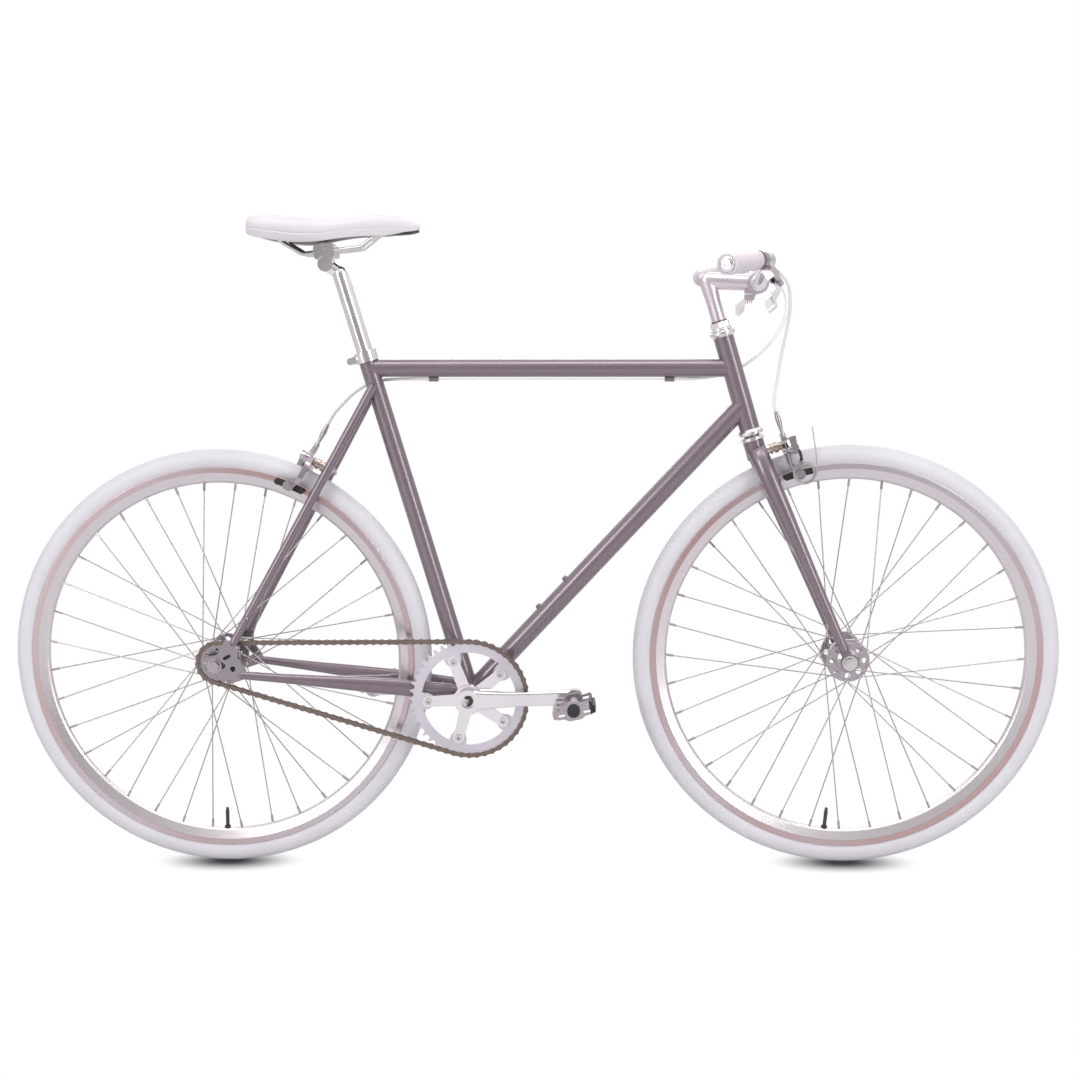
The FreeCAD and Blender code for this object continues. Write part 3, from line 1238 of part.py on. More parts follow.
class Calliper:
    """A side-pull brake in its own axes: out along the pivot bolt, across the wheel and up.

    The stop arm carries the cable's barrel in one of the two layers along the bolt. The anchor
    arm lies in the other layer and holds the wire's clamp in the barrel's plane.
    """

    def __init__(self, pivot, axes, mount, stop_layer, clamp_up, flap_foot, wheel_hub):
        self.pivot = pivot
        self.out, self.side, self.up = axes
        self.mount_depth, self.mount_radius = mount
        self.layer = stop_layer
        self.wire_out = stop_layer * (ARM_GAP + ARM_LAYER) / 2
        self.clamp_up = clamp_up
        self.flap_foot = flap_foot
        self.hub = wheel_hub

    def at(self, out, side, up):
        return self.pivot + self.out * out + self.side * side + self.up * up

    def plate(self, outline, out_from, out_to):
        return slab(outline, self.at(out_from, 0, 0), self.side, self.up, self.out * (out_to - out_from))

    def side_piece(self, outline, side_from, side_to):
        depth = self.side * (side_to - side_from)
        return slab(outline, self.at(0, side_from, 0), self.out, self.up, depth)

    def rod(self, start, end, radius):
        return cylinder(self.at(*start), self.at(*end), radius)

    def mount(self):
        """The pivot bolt with its spacers and springs behind the arms and its nuts in front."""
        reach = ARM_GAP / 2 + ARM_LAYER
        bolt = self.rod((-self.mount_depth - 12, 0, 0), (reach + 8.0, 0, 0), PIVOT_RADIUS)
        solids = [bolt]
        surface = self.mount_radius - self.mount_depth
        room = -reach - 0.5 - surface
        stack = ((0.0, 0.22, 7.0), (0.22, 0.4, 8.5), (0.4, 0.55, 6.0), (0.55, 0.8, 8.8), (0.8, 1.0, 6.5))
        for start, end, radius in stack:
            disc = self.rod((surface + room * start, 0, 0), (surface + room * end, 0, 0), radius)
            solids.append(disc.cut(bolt))
        for start, end, radius in ((0.5, 3.0, 7.0), (3.0, 7.0, 5.5)):
            disc = self.rod((reach + start, 0, 0), (reach + end, 0, 0), radius)
            solids.append(disc.cut(bolt))
        return Part.makeCompound(solids)

    def arm(self, pad_side, layer):
        """The arched arm from the pivot down to the pad, with its broad slotted foot."""
        s = pad_side
        outline = (
            (0, 10, 6), (s * 14, 7, 8), (s * 30, -4, 14), (s * 34, -28, 12), (s * 33, -40, 2),
            (s * 26, -40, 2), (s * 25.5, -30, 7), (s * 17, -14, 8), (s * 6, -10, 4), (-s * 5, -10, 5),
            (-s * 8, 4, 5),
        )
        near = layer * ARM_GAP / 2
        far = layer * (ARM_GAP / 2 + ARM_LAYER)
        body = self.plate(outline, near, far)
        middle = (near + far) / 2
        left = PAD_SHIFT - 9.0
        right = PAD_SHIFT + 9.0
        half = ARM_LAYER / 2
        foot = (
            (middle - half, -30), (left, -46, 8), (left + 1, -57, 7), (right - 1, -57, 7), (right, -46, 8),
            (middle + half, -30),
        )
        flare = self.side_piece(foot, s * 26.0, s * 33.0)
        slot_left = PAD_SHIFT - 3.2
        slot_right = PAD_SHIFT + 3.2
        slot = (
            (slot_left, -52.5, 3.1), (slot_right, -52.5, 3.1), (slot_right, -38, 3.1), (slot_left, -38, 3.1),
        )
        opening = self.side_piece(slot, s * 20.0, s * 40.0)
        return body.fuse(flare).cut(opening).fuse(self.stud(s))

    def pivot_hole(self):
        return self.rod((-ARM_LAYER * 2, 0, 0), (ARM_LAYER * 2, 0, 0), PIVOT_RADIUS + RUNNING_FIT)

    def stud(self, pad_side):
        """The pad's threaded stud with its washer and nut."""
        s = pad_side
        out = PAD_SHIFT
        back = PAD_INNER + PAD_THICKNESS
        rod = self.rod((out, s * back, -PAD_REACH), (out, s * STUD_OUT, -PAD_REACH), 2.8)
        washer = self.rod((out, s * 33.0, -PAD_REACH), (out, s * 35.0, -PAD_REACH), 6.2)
        nut = slab(hexagon(5.8), self.at(out, s * 35.0, -PAD_REACH), self.out, self.up, self.side * (s * 4.5))
        return rod.fuse([washer, nut])

    def stop_arm(self):
        near = self.layer * ARM_GAP / 2
        far = self.layer * (ARM_GAP / 2 + ARM_LAYER)
        arm = self.arm(-1, self.layer)
        lug = self.plate(strap((-17, -1), (BARREL_SIDE + 2, BARREL_FOOT - 8), 7.0, 6.0), near, far)
        tower = (
            (BARREL_SIDE - 5, 8, 3), (BARREL_SIDE + 6, 8, 3),
            (BARREL_SIDE + 5, BARREL_FOOT, 2), (BARREL_SIDE - 5, BARREL_FOOT, 2),
        )
        body = arm.fuse([lug, self.plate(tower, near, far)])

        def place(up):
            return self.at(self.wire_out, BARREL_SIDE, up)

        shaft = cylinder(place(BARREL_FOOT), place(30), 2.6)
        waist = cone(place(28), place(44), 2.8, 4.6)
        tip = cone(place(44), place(BARREL_TOP), 4.6, 3.0)
        grip_ring = cylinder(place(BARREL_FOOT), place(BARREL_FOOT + 4), 4.4)
        socket = cylinder(place(BARREL_MOUTH), place(BARREL_TOP + 1), CABLE_RADIUS)
        wire_way = cylinder(place(0), place(BARREL_TOP), WIRE_RADIUS + WIRE_CLEARANCE)
        return body.fuse([shaft, waist, tip, grip_ring]).cut([socket, wire_way, self.pivot_hole()])

    def anchor_arm(self):
        layer = -self.layer
        near = layer * ARM_GAP / 2
        far = layer * (ARM_GAP / 2 + ARM_LAYER)
        arm = self.arm(1, layer)
        lug = self.plate(strap((4, 0), (BARREL_SIDE, self.clamp_up), 8.5, 5.8), near, far)
        beside = self.layer * (abs(self.wire_out) - WIRE_RADIUS - WIRE_CLEARANCE)
        beyond = self.layer * (abs(self.wire_out) + WIRE_RADIUS + WIRE_CLEARANCE)
        face = beyond + self.layer * 4.5

        def bolt_piece(out_from, out_to, radius, aside=0.0):
            place = (BARREL_SIDE - aside, self.clamp_up)
            return self.rod((out_from,) + place, (out_to,) + place, radius)

        post = bolt_piece(near, beside, 4.6)
        pin = bolt_piece(near, face, 1.7, 3.2)
        clamp = bolt_piece(beyond, face, 5.5)
        head = bolt_piece(far, far + layer * 6.0, 5.0)
        left, low = self.flap_foot
        flap_outline = (
            (left + 1, low, 1.5), (left - 1, low + 28, 1.5), (left + 11, low + 28, 1.5), (left + 8.5, low, 1.5),
        )
        flap = self.side_piece(flap_outline, BARREL_SIDE - 6.5, BARREL_SIDE - 4.0)
        return arm.fuse([lug, post, pin, clamp, head, flap]).cut(self.pivot_hole())

    def guard(self):
        """The curved moulding in front of the arms on the clamp's side."""
        outline = (
            (8, -3, 2), (12, -1, 2), (16, -13, 8), (15.5, -26, 4), (11, -32, 2), (8, -30.5, 1.5),
            (12, -23, 6), (12, -13, 6),
        )
        return self.side_piece(outline, BARREL_SIDE - 4.0, BARREL_SIDE + 4.0)

    def pad(self, pad_side):
        """A pad curved along the rim, shifted along it from the arms' middle."""
        middle = math.degrees(math.atan2(self.pad_run().z, self.pad_run().x))
        sweep = math.degrees(PAD_LENGTH / PAD_RADIUS)
        s = pad_side * (1 if self.side.y > 0 else -1)
        low = PAD_RADIUS - PAD_HEIGHT / 2
        high = PAD_RADIUS + PAD_HEIGHT / 2
        inner = PAD_INNER * s

        def spot(radius, step):
            return polar(self.hub, radius, middle + step * sweep / 2, inner)

        edges = [
            Part.Arc(spot(high, -0.9), spot(high, 0), spot(high, 0.9)).toShape(),
            Part.Arc(spot(high, 0.9), spot(PAD_RADIUS, 1.0), spot(low, 0.9)).toShape(),
            Part.Arc(spot(low, 0.9), spot(low, 0), spot(low, -0.9)).toShape(),
            Part.Arc(spot(low, -0.9), spot(PAD_RADIUS, -1.0), spot(high, -0.9)).toShape(),
        ]
        return Part.Face(Part.Wire(edges)).extrude(Y_AXIS * (s * PAD_THICKNESS))

    def pad_run(self):
        return self.at(PAD_SHIFT, 0, -PAD_REACH) - self.hub


def callipers():
    on_crown = (FRONT_BRAKE_DEPTH, CROWN_RADIUS)
    on_bridge = (BRIDGE_DEPTH, BRIDGE_RADIUS)
    front = Calliper(FRONT_BRAKE, FRONT_AXES, on_crown, INNER_LAYER, -6.0, (3.0, -14.0), FRONT_HUB)
    rear = Calliper(REAR_BRAKE, REAR_AXES, on_bridge, OUTER_LAYER, -26.0, (11.0, -27.0), REAR_HUB)
    return front, rear


# Brake cables
COIL_OUT = 11.7
COIL_SIDE = -50.0
COIL_UP = -45.9
COIL_RADIUS = 18.0


def brake_wire(calliper, foot_up):
    start = calliper.at(calliper.wire_out, BARREL_SIDE, BARREL_MOUTH)
    return cylinder(start, calliper.at(calliper.wire_out, BARREL_SIDE, foot_up), WIRE_RADIUS)


def front_cable(front):
    start, inboard = lever_cable_start(RIGHT)
    mouth = front.at(front.wire_out, BARREL_SIDE, BARREL_MOUTH)
    points = [
        start, start + inboard * 22, Vector(397, -97, 933), Vector(402, -84, 901), Vector(398, -68, 862),
        Vector(391, -52, 822), Vector(387, -44, 784), front.at(front.wire_out, BARREL_SIDE, 74), mouth,
    ]
    return cable("front_brake_cable", points, CABLE_RADIUS)


def spare_wire(front):
    """The wire's free end below the front clamp, coiled beside the pad and ending in a whisker."""
    centre = front.at(COIL_OUT, COIL_SIDE, COIL_UP)
    foot = front.at(front.wire_out, BARREL_SIDE, front.clamp_up - 8)
    entry = centre + Vector(-COIL_RADIUS - 0.5, 3.0, 6.0)
    pieces = [swept([foot, foot - UP_STEER * 12, entry], WIRE_RADIUS)]
    for i, lean in enumerate((-0.16, 0.0, 0.16)):
        radius = COIL_RADIUS - i * 2.5 * WIRE_RADIUS
        pieces.append(Part.makeTorus(radius, WIRE_RADIUS, centre, unit(Y_AXIS + X_AXIS * lean)))
    side = centre + Vector(COIL_RADIUS + 2.5 * WIRE_RADIUS, 0, 0)
    whisker = [side - Z_AXIS * 6, side + Vector(-1.5, 0, 24), side + Vector(-9.0, 0, 71)]
    pieces.append(swept(whisker, WIRE_RADIUS))
    return pieces


def rear_cable_front():
    start, inboard = lever_cable_start(LEFT)
    end = stop_centre(STOP_X[1]) + TOP_RUN * (STOP_LENGTH / 2 - STOP_SOCKET)
    points = [
        start, start + inboard * 28, Vector(408, 84, 936), Vector(415, 62, 905), Vector(404, 46, 868),
        Vector(380, 33, 838), Vector(350, 25, 812), Vector(314, 21.5, 794), Vector(272, 11, end.z + 0.6),
        end + TOP_RUN * 24, end,
    ]
    return cable("rear_cable_front", points, CABLE_RADIUS)


def rear_cable_rear(rear):
    """The rear housing, with the bare wire under the top tube and at the calliper."""
    start = stop_centre(STOP_X[0]) - TOP_RUN * (STOP_LENGTH / 2 - STOP_SOCKET)
    mouth = rear.at(rear.wire_out, BARREL_SIDE, BARREL_MOUTH)
    points = [
        start, start - TOP_RUN * 26, Vector(-213, 14, 791.5), Vector(-252, 23, 788), Vector(-285, 30, 769.5),
        Vector(-309, 35.5, 746), rear.at(rear.wire_out, BARREL_SIDE, 76), mouth,
    ]
    housing = cable("rear_cable_rear", points, CABLE_RADIUS)
    front_stop = stop_centre(STOP_X[1]) + TOP_RUN * (STOP_LENGTH / 2 - STOP_SOCKET)
    bare = cylinder(start, front_stop, WIRE_RADIUS)
    return Part.makeCompound([housing, brake_wire(rear, rear.clamp_up - 9), bare])


# Seatpost and saddle
def seatpost():
    foot = seat_point(690.0)
    high = seat_point(958.0)
    post = cylinder(foot, high, POST_RADIUS)
    head = across(POST_HEAD, -17.0, 17.0, POST_HEAD_RADIUS)
    shoulder = Part.makeSphere(POST_RADIUS, high)
    arm = cylinder(high, POST_HEAD, 10.5)
    return post.fuse([shoulder, arm, head]).removeSplitter()


CLAMP_RAIL_HEIGHT = 991.5
RAIL_SLOPE = 5.6


def rail_line(x):
    rise = math.tan(math.radians(RAIL_SLOPE)) * (x - POST_HEAD.x)
    return CLAMP_RAIL_HEIGHT + rise


def saddle_clamp(rails):
    tilt = math.radians(RAIL_SLOPE)
    ahead = Vector(math.cos(tilt), 0, math.sin(tilt))
    above = Vector(-math.sin(tilt), 0, math.cos(tilt))
    centre = Vector(POST_HEAD.x, 0, CLAMP_RAIL_HEIGHT)
    start = centre - Y_AXIS * 27
    depth = Y_AXIS * 54
    lower = slab(((-15, -10.5, 3), (15, -10.5, 3), (17, -0.4, 2), (-17, -0.4, 2)), start, ahead, above, depth)
    upper = slab(((-17, 0.4, 2), (17, 0.4, 2), (15, 12, 4), (-15, 12, 4)), start, ahead, above, depth)
    keep = across(POST_HEAD, -28.0, 28.0, POST_HEAD_RADIUS + RUNNING_FIT)
    bolt_at = centre + above * 7.6
    bolt = across(bolt_at, -31.0, 31.0, 3.0)
    dome = across(bolt_at, -32.5, -29.0, 4.6)
    nut = across(bolt_at, 29.0, 32.5, 4.6)
    washers = [across(bolt_at, -29.0, -27.0, 5.8), across(bolt_at, 27.0, 29.0, 5.8)]
    solids = [lower.cut([keep] + rails), upper.cut(rails + [bolt])]
    return Part.makeCompound(solids + [bolt.fuse([dome, nut] + washers)])


RAIL_BEND_RADIUS = 13.0
RAIL_POINTS = (
    (-400.0, 33.0, 1022.0), (-378.0, 31.0, 1004.0), (-352.0, 24.0, rail_line(-352.0)),
    (-336.0, 22.0, rail_line(-336.0)), (-262.0, 22.0, rail_line(-262.0)),
    (-236.0, 14.0, 1016.0), (-214.0, 9.0, 1024.0),
)


def rail(side):
    return swept([mirrored_y(Vector(*point), side) for point in RAIL_POINTS], RAIL_RADIUS, RAIL_BEND_RADIUS)


BASE_THICKNESS = 3.2
BASE_SHARE = 0.84
COVER_GAP = 0.05
SADDLE_SECTIONS = (
    (-438.0, 34.0, 1040.0, 1027.0), (-432.0, 56.0, 1047.5, 1023.0), (-416.0, 70.0, 1053.5, 1018.0),
    (-390.0, 75.0, 1052.5, 1013.5), (-360.0, 67.0, 1049.0, 1010.0), (-328.0, 49.0, 1045.5, 1011.0),
    (-300.0, 34.0, 1045.0, 1015.5), (-268.0, 25.0, 1047.5, 1019.0), (-235.0, 21.0, 1050.0, 1020.0),
    (-205.0, 19.0, 1047.5, 1020.0), (-183.0, 15.0, 1041.0, 1021.5), (-171.0, 8.0, 1034.0, 1024.0),
)


def saddle_wire(x, half, top, bottom):
    height = top - bottom

    def bend(*poles):
        curve = Part.BezierCurve()
        curve.setPoles([Vector(x, half * a, bottom + height * b) for a, b in poles])
        return curve.toShape()

    return Part.Wire([
        bend((BASE_SHARE, 0), (0, 0), (-BASE_SHARE, 0)),
        bend((-BASE_SHARE, 0), (-1.04, 0.04), (-1.05, 0.74), (-0.62, 0.93)),
        bend((-0.62, 0.93), (-0.35, 1.025), (0.35, 1.025), (0.62, 0.93)),
        bend((0.62, 0.93), (1.05, 0.74), (1.04, 0.04), (BASE_SHARE, 0)),
    ])


def saddle_top():
    return Part.makeLoft([saddle_wire(*section) for section in SADDLE_SECTIONS], True, False)


def saddle_base():
    """The shell under the cover, just clear of the cover's underside."""
    wires = []
    for x, half, _, bottom in SADDLE_SECTIONS:
        inset = half * BASE_SHARE
        high = bottom - COVER_GAP
        low = high - BASE_THICKNESS
        rise = [Vector(x, y, z) for y, z in ((-inset, low), (inset, low), (inset, high), (-inset, high))]
        wires.append(Part.makePolygon(rise + rise[:1]))
    return Part.makeLoft(wires, True, False)


def main():
    ends = track_ends()
    save("head_tube", head_tube())
    save("top_tube", top_tube())
    save("down_tube", down_tube())
    save("seat_tube", seat_tube())
    save("bottom_bracket_shell", bottom_bracket_shell())
    save("chain_stays", chain_stays(ends))
    save("seat_stays", seat_stays(ends))
    save("track_ends", *ends)
    save("braze_ons", braze_ons())
    save("bearing_cups", headset_cup(HEAD_TOP, UP_STEER), headset_cup(HEAD_FOOT, UP_STEER * -1),
         bracket_cup(RIGHT), bracket_cup(LEFT))
    save("seat_clamp", seat_clamp())
    save("rear_axle", axle(REAR_HUB, TRACK_END_Y - 3, TRACK_END_THICKNESS, 75.0, 56.0))
    save("front_axle", axle(FRONT_HUB, FORK_END_Y - 2.5, FORK_END_THICKNESS, 66.0, 47.0))
    wheel("rear", REAR_HUB, 31.0, 56.0, REAR_FIRST_SPOKE, REAR_VALVE_ANGLE)
    wheel("front", FRONT_HUB, 34.0, 47.0, FRONT_FIRST_SPOKE, FRONT_VALVE_ANGLE)
    save("rear_cog", *cog())
    save("chain", chain())
    save("chainring", chainring())
    save("right_crank", right_crank())
    save("left_crank", crank_arm(LEFT))
    save("crank_spindle", spindle_and_bolts())
    save("pedal_axles", pedal_axle(RIGHT), pedal_axle(LEFT))
    save("right_pedal", pedal(RIGHT))
    save("left_pedal", pedal(LEFT))
    save("fork", fork())
    save("headset_top", headset_top())
    save("stem", stem())
    save("handlebar", handlebar())
    save("grips", grips())
    save("bar_plugs", bar_plugs())
    save("lever_brackets", lever_bracket(RIGHT), lever_bracket(LEFT))
    save("right_brake_lever", lever_blade(RIGHT))
    save("left_brake_lever", lever_blade(LEFT))
    front, rear = callipers()
    for name, calliper in (("front", front), ("rear", rear)):
        save(name + "_brake_mount", calliper.mount())
        save(name + "_brake_stop_arm", calliper.stop_arm())
        save(name + "_brake_stop_pad", calliper.pad(-1))
        save(name + "_brake_anchor_pad", calliper.pad(1))
    save("front_brake_anchor_arm", front.anchor_arm().fuse(front.guard()))
    save("rear_brake_anchor_arm", rear.anchor_arm())
    save("front_brake_cable", front_cable(front), brake_wire(front, front.clamp_up - 8), *spare_wire(front))
    save("rear_cable_front", rear_cable_front())
    save("rear_cable_rear", rear_cable_rear(rear))
    save("seatpost", seatpost())
    rails = [rail(RIGHT), rail(LEFT)]
    cover = saddle_top()
    base = saddle_base()
    save("saddle_top", cover)
    save("saddle_base", base)
    save("saddle_rails", *[largest(r.cut(base)) for r in rails])
    save("saddle_clamp", saddle_clamp(rails))


main()
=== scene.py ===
import math

import bmesh
import bpy
from mathutils import Matrix, Vector


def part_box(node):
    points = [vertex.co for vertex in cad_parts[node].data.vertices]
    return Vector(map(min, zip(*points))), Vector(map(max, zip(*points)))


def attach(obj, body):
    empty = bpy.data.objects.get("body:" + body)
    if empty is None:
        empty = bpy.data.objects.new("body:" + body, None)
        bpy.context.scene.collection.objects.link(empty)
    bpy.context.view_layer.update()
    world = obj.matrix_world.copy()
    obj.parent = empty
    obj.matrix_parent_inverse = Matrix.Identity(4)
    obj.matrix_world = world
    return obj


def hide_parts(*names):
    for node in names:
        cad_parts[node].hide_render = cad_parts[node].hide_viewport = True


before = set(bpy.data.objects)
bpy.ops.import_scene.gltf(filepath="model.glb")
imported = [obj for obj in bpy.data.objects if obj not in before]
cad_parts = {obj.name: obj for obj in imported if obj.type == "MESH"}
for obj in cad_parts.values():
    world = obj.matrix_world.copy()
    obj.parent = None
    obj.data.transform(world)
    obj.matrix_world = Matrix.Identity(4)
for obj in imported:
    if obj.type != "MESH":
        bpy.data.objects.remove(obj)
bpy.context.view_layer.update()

# Places and sizes of the bicycle, in metres
REAR_HUB = Vector((-0.504, 0.0, 0.341))
FRONT_HUB = Vector((0.504, 0.0, 0.341))
TYRE_RADIUS = 0.341
RIM_RADIUS = 0.313
BRAKE_TRACK = 0.0095
CRANK_LENGTH = 0.170
CRANK_TURN = math.radians(2.8)
PEDAL_TILT = math.radians(10.8)
FRONT_PIVOT = Vector((0.406088, 0.0, 0.683392))
FRONT_OUT = Vector((0.9603, 0.0, 0.2790))
FRONT_UP = Vector((-0.2790, 0.0, 0.9603))
REAR_PIVOT = Vector((-0.354629, 0.0, 0.665014))
REAR_OUT = Vector((-0.8718, 0.0, 0.4899))
BAR_BEND = Vector((0.368, 0.100, 0.9707))
BAR_END = Vector((0.2886, 0.290, 0.9547))
GRIP_LENGTH = 0.130
GRIP_BORE = 0.01112
GRIP_SIDES = 48

# Saddle cover: place along the bicycle, half width, height of the top and of the underside
COVER_SECTIONS = (
    (-0.438, 0.034, 1.0400, 1.0270), (-0.432, 0.056, 1.0475, 1.0230), (-0.416, 0.070, 1.0535, 1.0180),
    (-0.390, 0.075, 1.0525, 1.0135), (-0.360, 0.067, 1.0490, 1.0100), (-0.328, 0.049, 1.0455, 1.0110),
    (-0.300, 0.034, 1.0450, 1.0155), (-0.268, 0.025, 1.0475, 1.0190), (-0.235, 0.021, 1.0500, 1.0200),
    (-0.205, 0.019, 1.0475, 1.0200), (-0.183, 0.015, 1.0410, 1.0215), (-0.171, 0.008, 1.0340, 1.0240),
)
# Shares of the half width and of the height, up the cover's side to its crown
COVER_PROFILE = (
    (0.935, 0.05), (0.951, 0.135), (0.954, 0.19), (0.942, 0.215), (0.958, 0.24), (0.966, 0.41),
    (0.945, 0.56), (0.864, 0.71), (0.755, 0.835), (0.62, 0.93), (0.35, 0.984),
)
COVER_SKIRT = 0.0050
SKIRT_END = -0.192
SKIRT_FADE = 0.03

# Painted shadow on the floor under each wheel
PAINTED_SHADOW_LENGTH = 0.130
PAINTED_SHADOW_WIDTH = 0.060
PAINTED_SHADOW_SIDE = -0.008

# Where the photograph was taken from, with the lens for a square frame
CAMERA_PLACE = Vector((0.1107, -2.5309, 0.8658))
CAMERA_YAW = -0.0379
CAMERA_PITCH = -0.1310
CAMERA_ROLL = -0.0097
SENSOR = 36.0
LENS = 52.97

# Colours, as linear red, green and blue
TAUPE = (0.215, 0.168, 0.198)
TYRE_WHITE = (0.67, 0.655, 0.695)
LEATHER_WHITE = (0.67, 0.64, 0.675)
GRIP_WHITE = (0.68, 0.635, 0.67)
CABLE_WHITE = (0.80, 0.79, 0.81)
TRACK_SILVER = (0.68, 0.63, 0.67)
# Champagne tone of the brake track, also a painted dark reflection
CHAMPAGNE_AND_PAINTED_REFLECTION = (0.60, 0.43, 0.42)
RIM_SATIN = (0.72, 0.685, 0.71)
BRIGHT_ALLOY = (0.90, 0.88, 0.90)
CAST_ALLOY = (0.50, 0.46, 0.49)
STEM_ALLOY = (0.76, 0.69, 0.74)
SPOKE_STEEL = (0.50, 0.47, 0.47)
RING_GREY = (0.73, 0.70, 0.76)
CHAIN_BRONZE = (0.25, 0.20, 0.175)
DARK_STEEL = (0.10, 0.09, 0.09)
TRACK_END_GREY = (0.38, 0.35, 0.37)
BRASS = (0.56, 0.46, 0.39)
PAD_BLACK = (0.018, 0.018, 0.019)
# Black of plastic parts, also used as painted shade in the crank bolt recesses
PLASTIC_AND_SHADE_BLACK = (0.022, 0.022, 0.024)


# Small helpers for shader trees
def place_nodes(tree, kind, **values):
    node = tree.nodes.new(kind)
    for name, value in values.items():
        setattr(node, name, value)
    return node


def new_group(name, inputs, outputs):
    tree = bpy.data.node_groups.new(name, "ShaderNodeTree")
    for label, kind, default in inputs:
        socket = tree.interface.new_socket(label, in_out="INPUT", socket_type=kind)
        socket.default_value = default
    for label, kind in outputs:
        tree.interface.new_socket(label, in_out="OUTPUT", socket_type=kind)
    return tree, tree.nodes.new("NodeGroupInput"), tree.nodes.new("NodeGroupOutput")


def grain_group():
    """Fine unevenness in a moulded, painted or cast surface."""
    tree, inside, outside = new_group(
        "surface_grain",
        (("Size", "NodeSocketFloat", 400.0), ("Contrast", "NodeSocketFloat", 0.5)),
        (("Height", "NodeSocketFloat"), ("Mask", "NodeSocketFloat")),
    )
    place = place_nodes(tree, "ShaderNodeTexCoord")
    fine = place_nodes(tree, "ShaderNodeTexNoise")
    fine.inputs["Detail"].default_value = 3.0
    broad = place_nodes(tree, "ShaderNodeTexNoise")
    broad.inputs["Scale"].default_value = 9.0
    broad.inputs["Detail"].default_value = 4.0
    spread = place_nodes(tree, "ShaderNodeMapRange")
    tree.links.new(place.outputs["Object"], fine.inputs["Vector"])
    tree.links.new(place.outputs["Object"], broad.inputs["Vector"])
    tree.links.new(inside.outputs["Size"], fine.inputs["Scale"])
    tree.links.new(broad.outputs["Fac"], spread.inputs["Value"])
    spread.inputs["From Min"].default_value = 0.3
    spread.inputs["From Max"].default_value = 0.7
    tree.links.new(inside.outputs["Contrast"], spread.inputs["To Max"])
    tree.links.new(fine.outputs["Fac"], outside.inputs["Height"])
    tree.links.new(spread.outputs["Result"], outside.inputs["Mask"])
    return tree


def wheel_place_group():
    """How far a point lies from a wheel's axle, how far round it and how far to the side."""
    tree, inside, outside = new_group(
        "wheel_place",
        (("Centre", "NodeSocketVector", (0.0, 0.0, 0.0)),),
        (("Radius", "NodeSocketFloat"), ("Turn", "NodeSocketFloat"), ("Side", "NodeSocketFloat")),
    )
    place = place_nodes(tree, "ShaderNodeTexCoord")
    shift = place_nodes(tree, "ShaderNodeVectorMath", operation="SUBTRACT")
    parts = place_nodes(tree, "ShaderNodeSeparateXYZ")
    flat = place_nodes(tree, "ShaderNodeCombineXYZ")
    reach = place_nodes(tree, "ShaderNodeVectorMath", operation="LENGTH")
    turn = place_nodes(tree, "ShaderNodeMath", operation="ARCTAN2")
    link = tree.links.new
    link(place.outputs["Object"], shift.inputs[0])
    link(inside.outputs["Centre"], shift.inputs[1])
    link(shift.outputs["Vector"], parts.inputs["Vector"])
    link(parts.outputs["X"], flat.inputs["X"])
    link(parts.outputs["Z"], flat.inputs["Z"])
    link(flat.outputs["Vector"], reach.inputs[0])
    link(parts.outputs["Z"], turn.inputs[0])
    link(parts.outputs["X"], turn.inputs[1])
    link(reach.outputs["Value"], outside.inputs["Radius"])
    link(turn.outputs["Value"], outside.inputs["Turn"])
    link(parts.outputs["Y"], outside.inputs["Side"])
    return tree


GRAIN = grain_group()
WHEEL_PLACE = wheel_place_group()


class Finish:
    """A material with its Principled shader, and short ways to add and join nodes."""

    def __init__(self, name, color, roughness, metallic=0.0):
        self.material = bpy.data.materials.new(name)
        self.material.use_nodes = True
        self.tree = self.material.node_tree
        self.shader = self.tree.nodes["Principled BSDF"]
        self.color = color
        self.shader.inputs["Metallic"].default_value = metallic
        self.shader.inputs["Base Color"].default_value = (*color, 1.0)
        self.shader.inputs["Roughness"].default_value = roughness
        self.roughness = roughness
        self.bumps = []

    def add(self, kind, **values):
        return place_nodes(self.tree, kind, **values)

    def link(self, source, target):
        self.tree.links.new(source, target)

    def group(self, tree, **values):
        node = self.add("ShaderNodeGroup")
        node.node_tree = tree
        for label, value in values.items():
            node.inputs[label].default_value = value
        return node

    def tint(self, mask, dark, light):
        """Base colour from dark to light by a mask."""
        mix = self.add("ShaderNodeMix", data_type="RGBA")
        mix.inputs["A"].default_value = (*dark, 1.0)
        mix.inputs["B"].default_value = (*light, 1.0)
        self.link(mask, mix.inputs["Factor"])
        self.link(mix.outputs["Result"], self.shader.inputs["Base Color"])
        return mix

    def gloss(self, mask, low, high):
        """Roughness from low to high by a mask."""
        spread = self.add("ShaderNodeMapRange")
        spread.inputs["To Min"].default_value = low
        spread.inputs["To Max"].default_value = high
        self.link(mask, spread.inputs["Value"])
        self.link(spread.outputs["Result"], self.shader.inputs["Roughness"])

    def bump(self, height, strength, distance):
        node = self.add("ShaderNodeBump")
        node.inputs["Strength"].default_value = strength
        node.inputs["Distance"].default_value = distance
        self.link(height, node.inputs["Height"])
        if self.bumps:
            self.link(self.bumps[-1].outputs["Normal"], node.inputs["Normal"])
        self.link(node.outputs["Normal"], self.shader.inputs["Normal"])
        self.bumps.append(node)

    def scaled(self, amount):
        return tuple(channel * amount for channel in self.color)


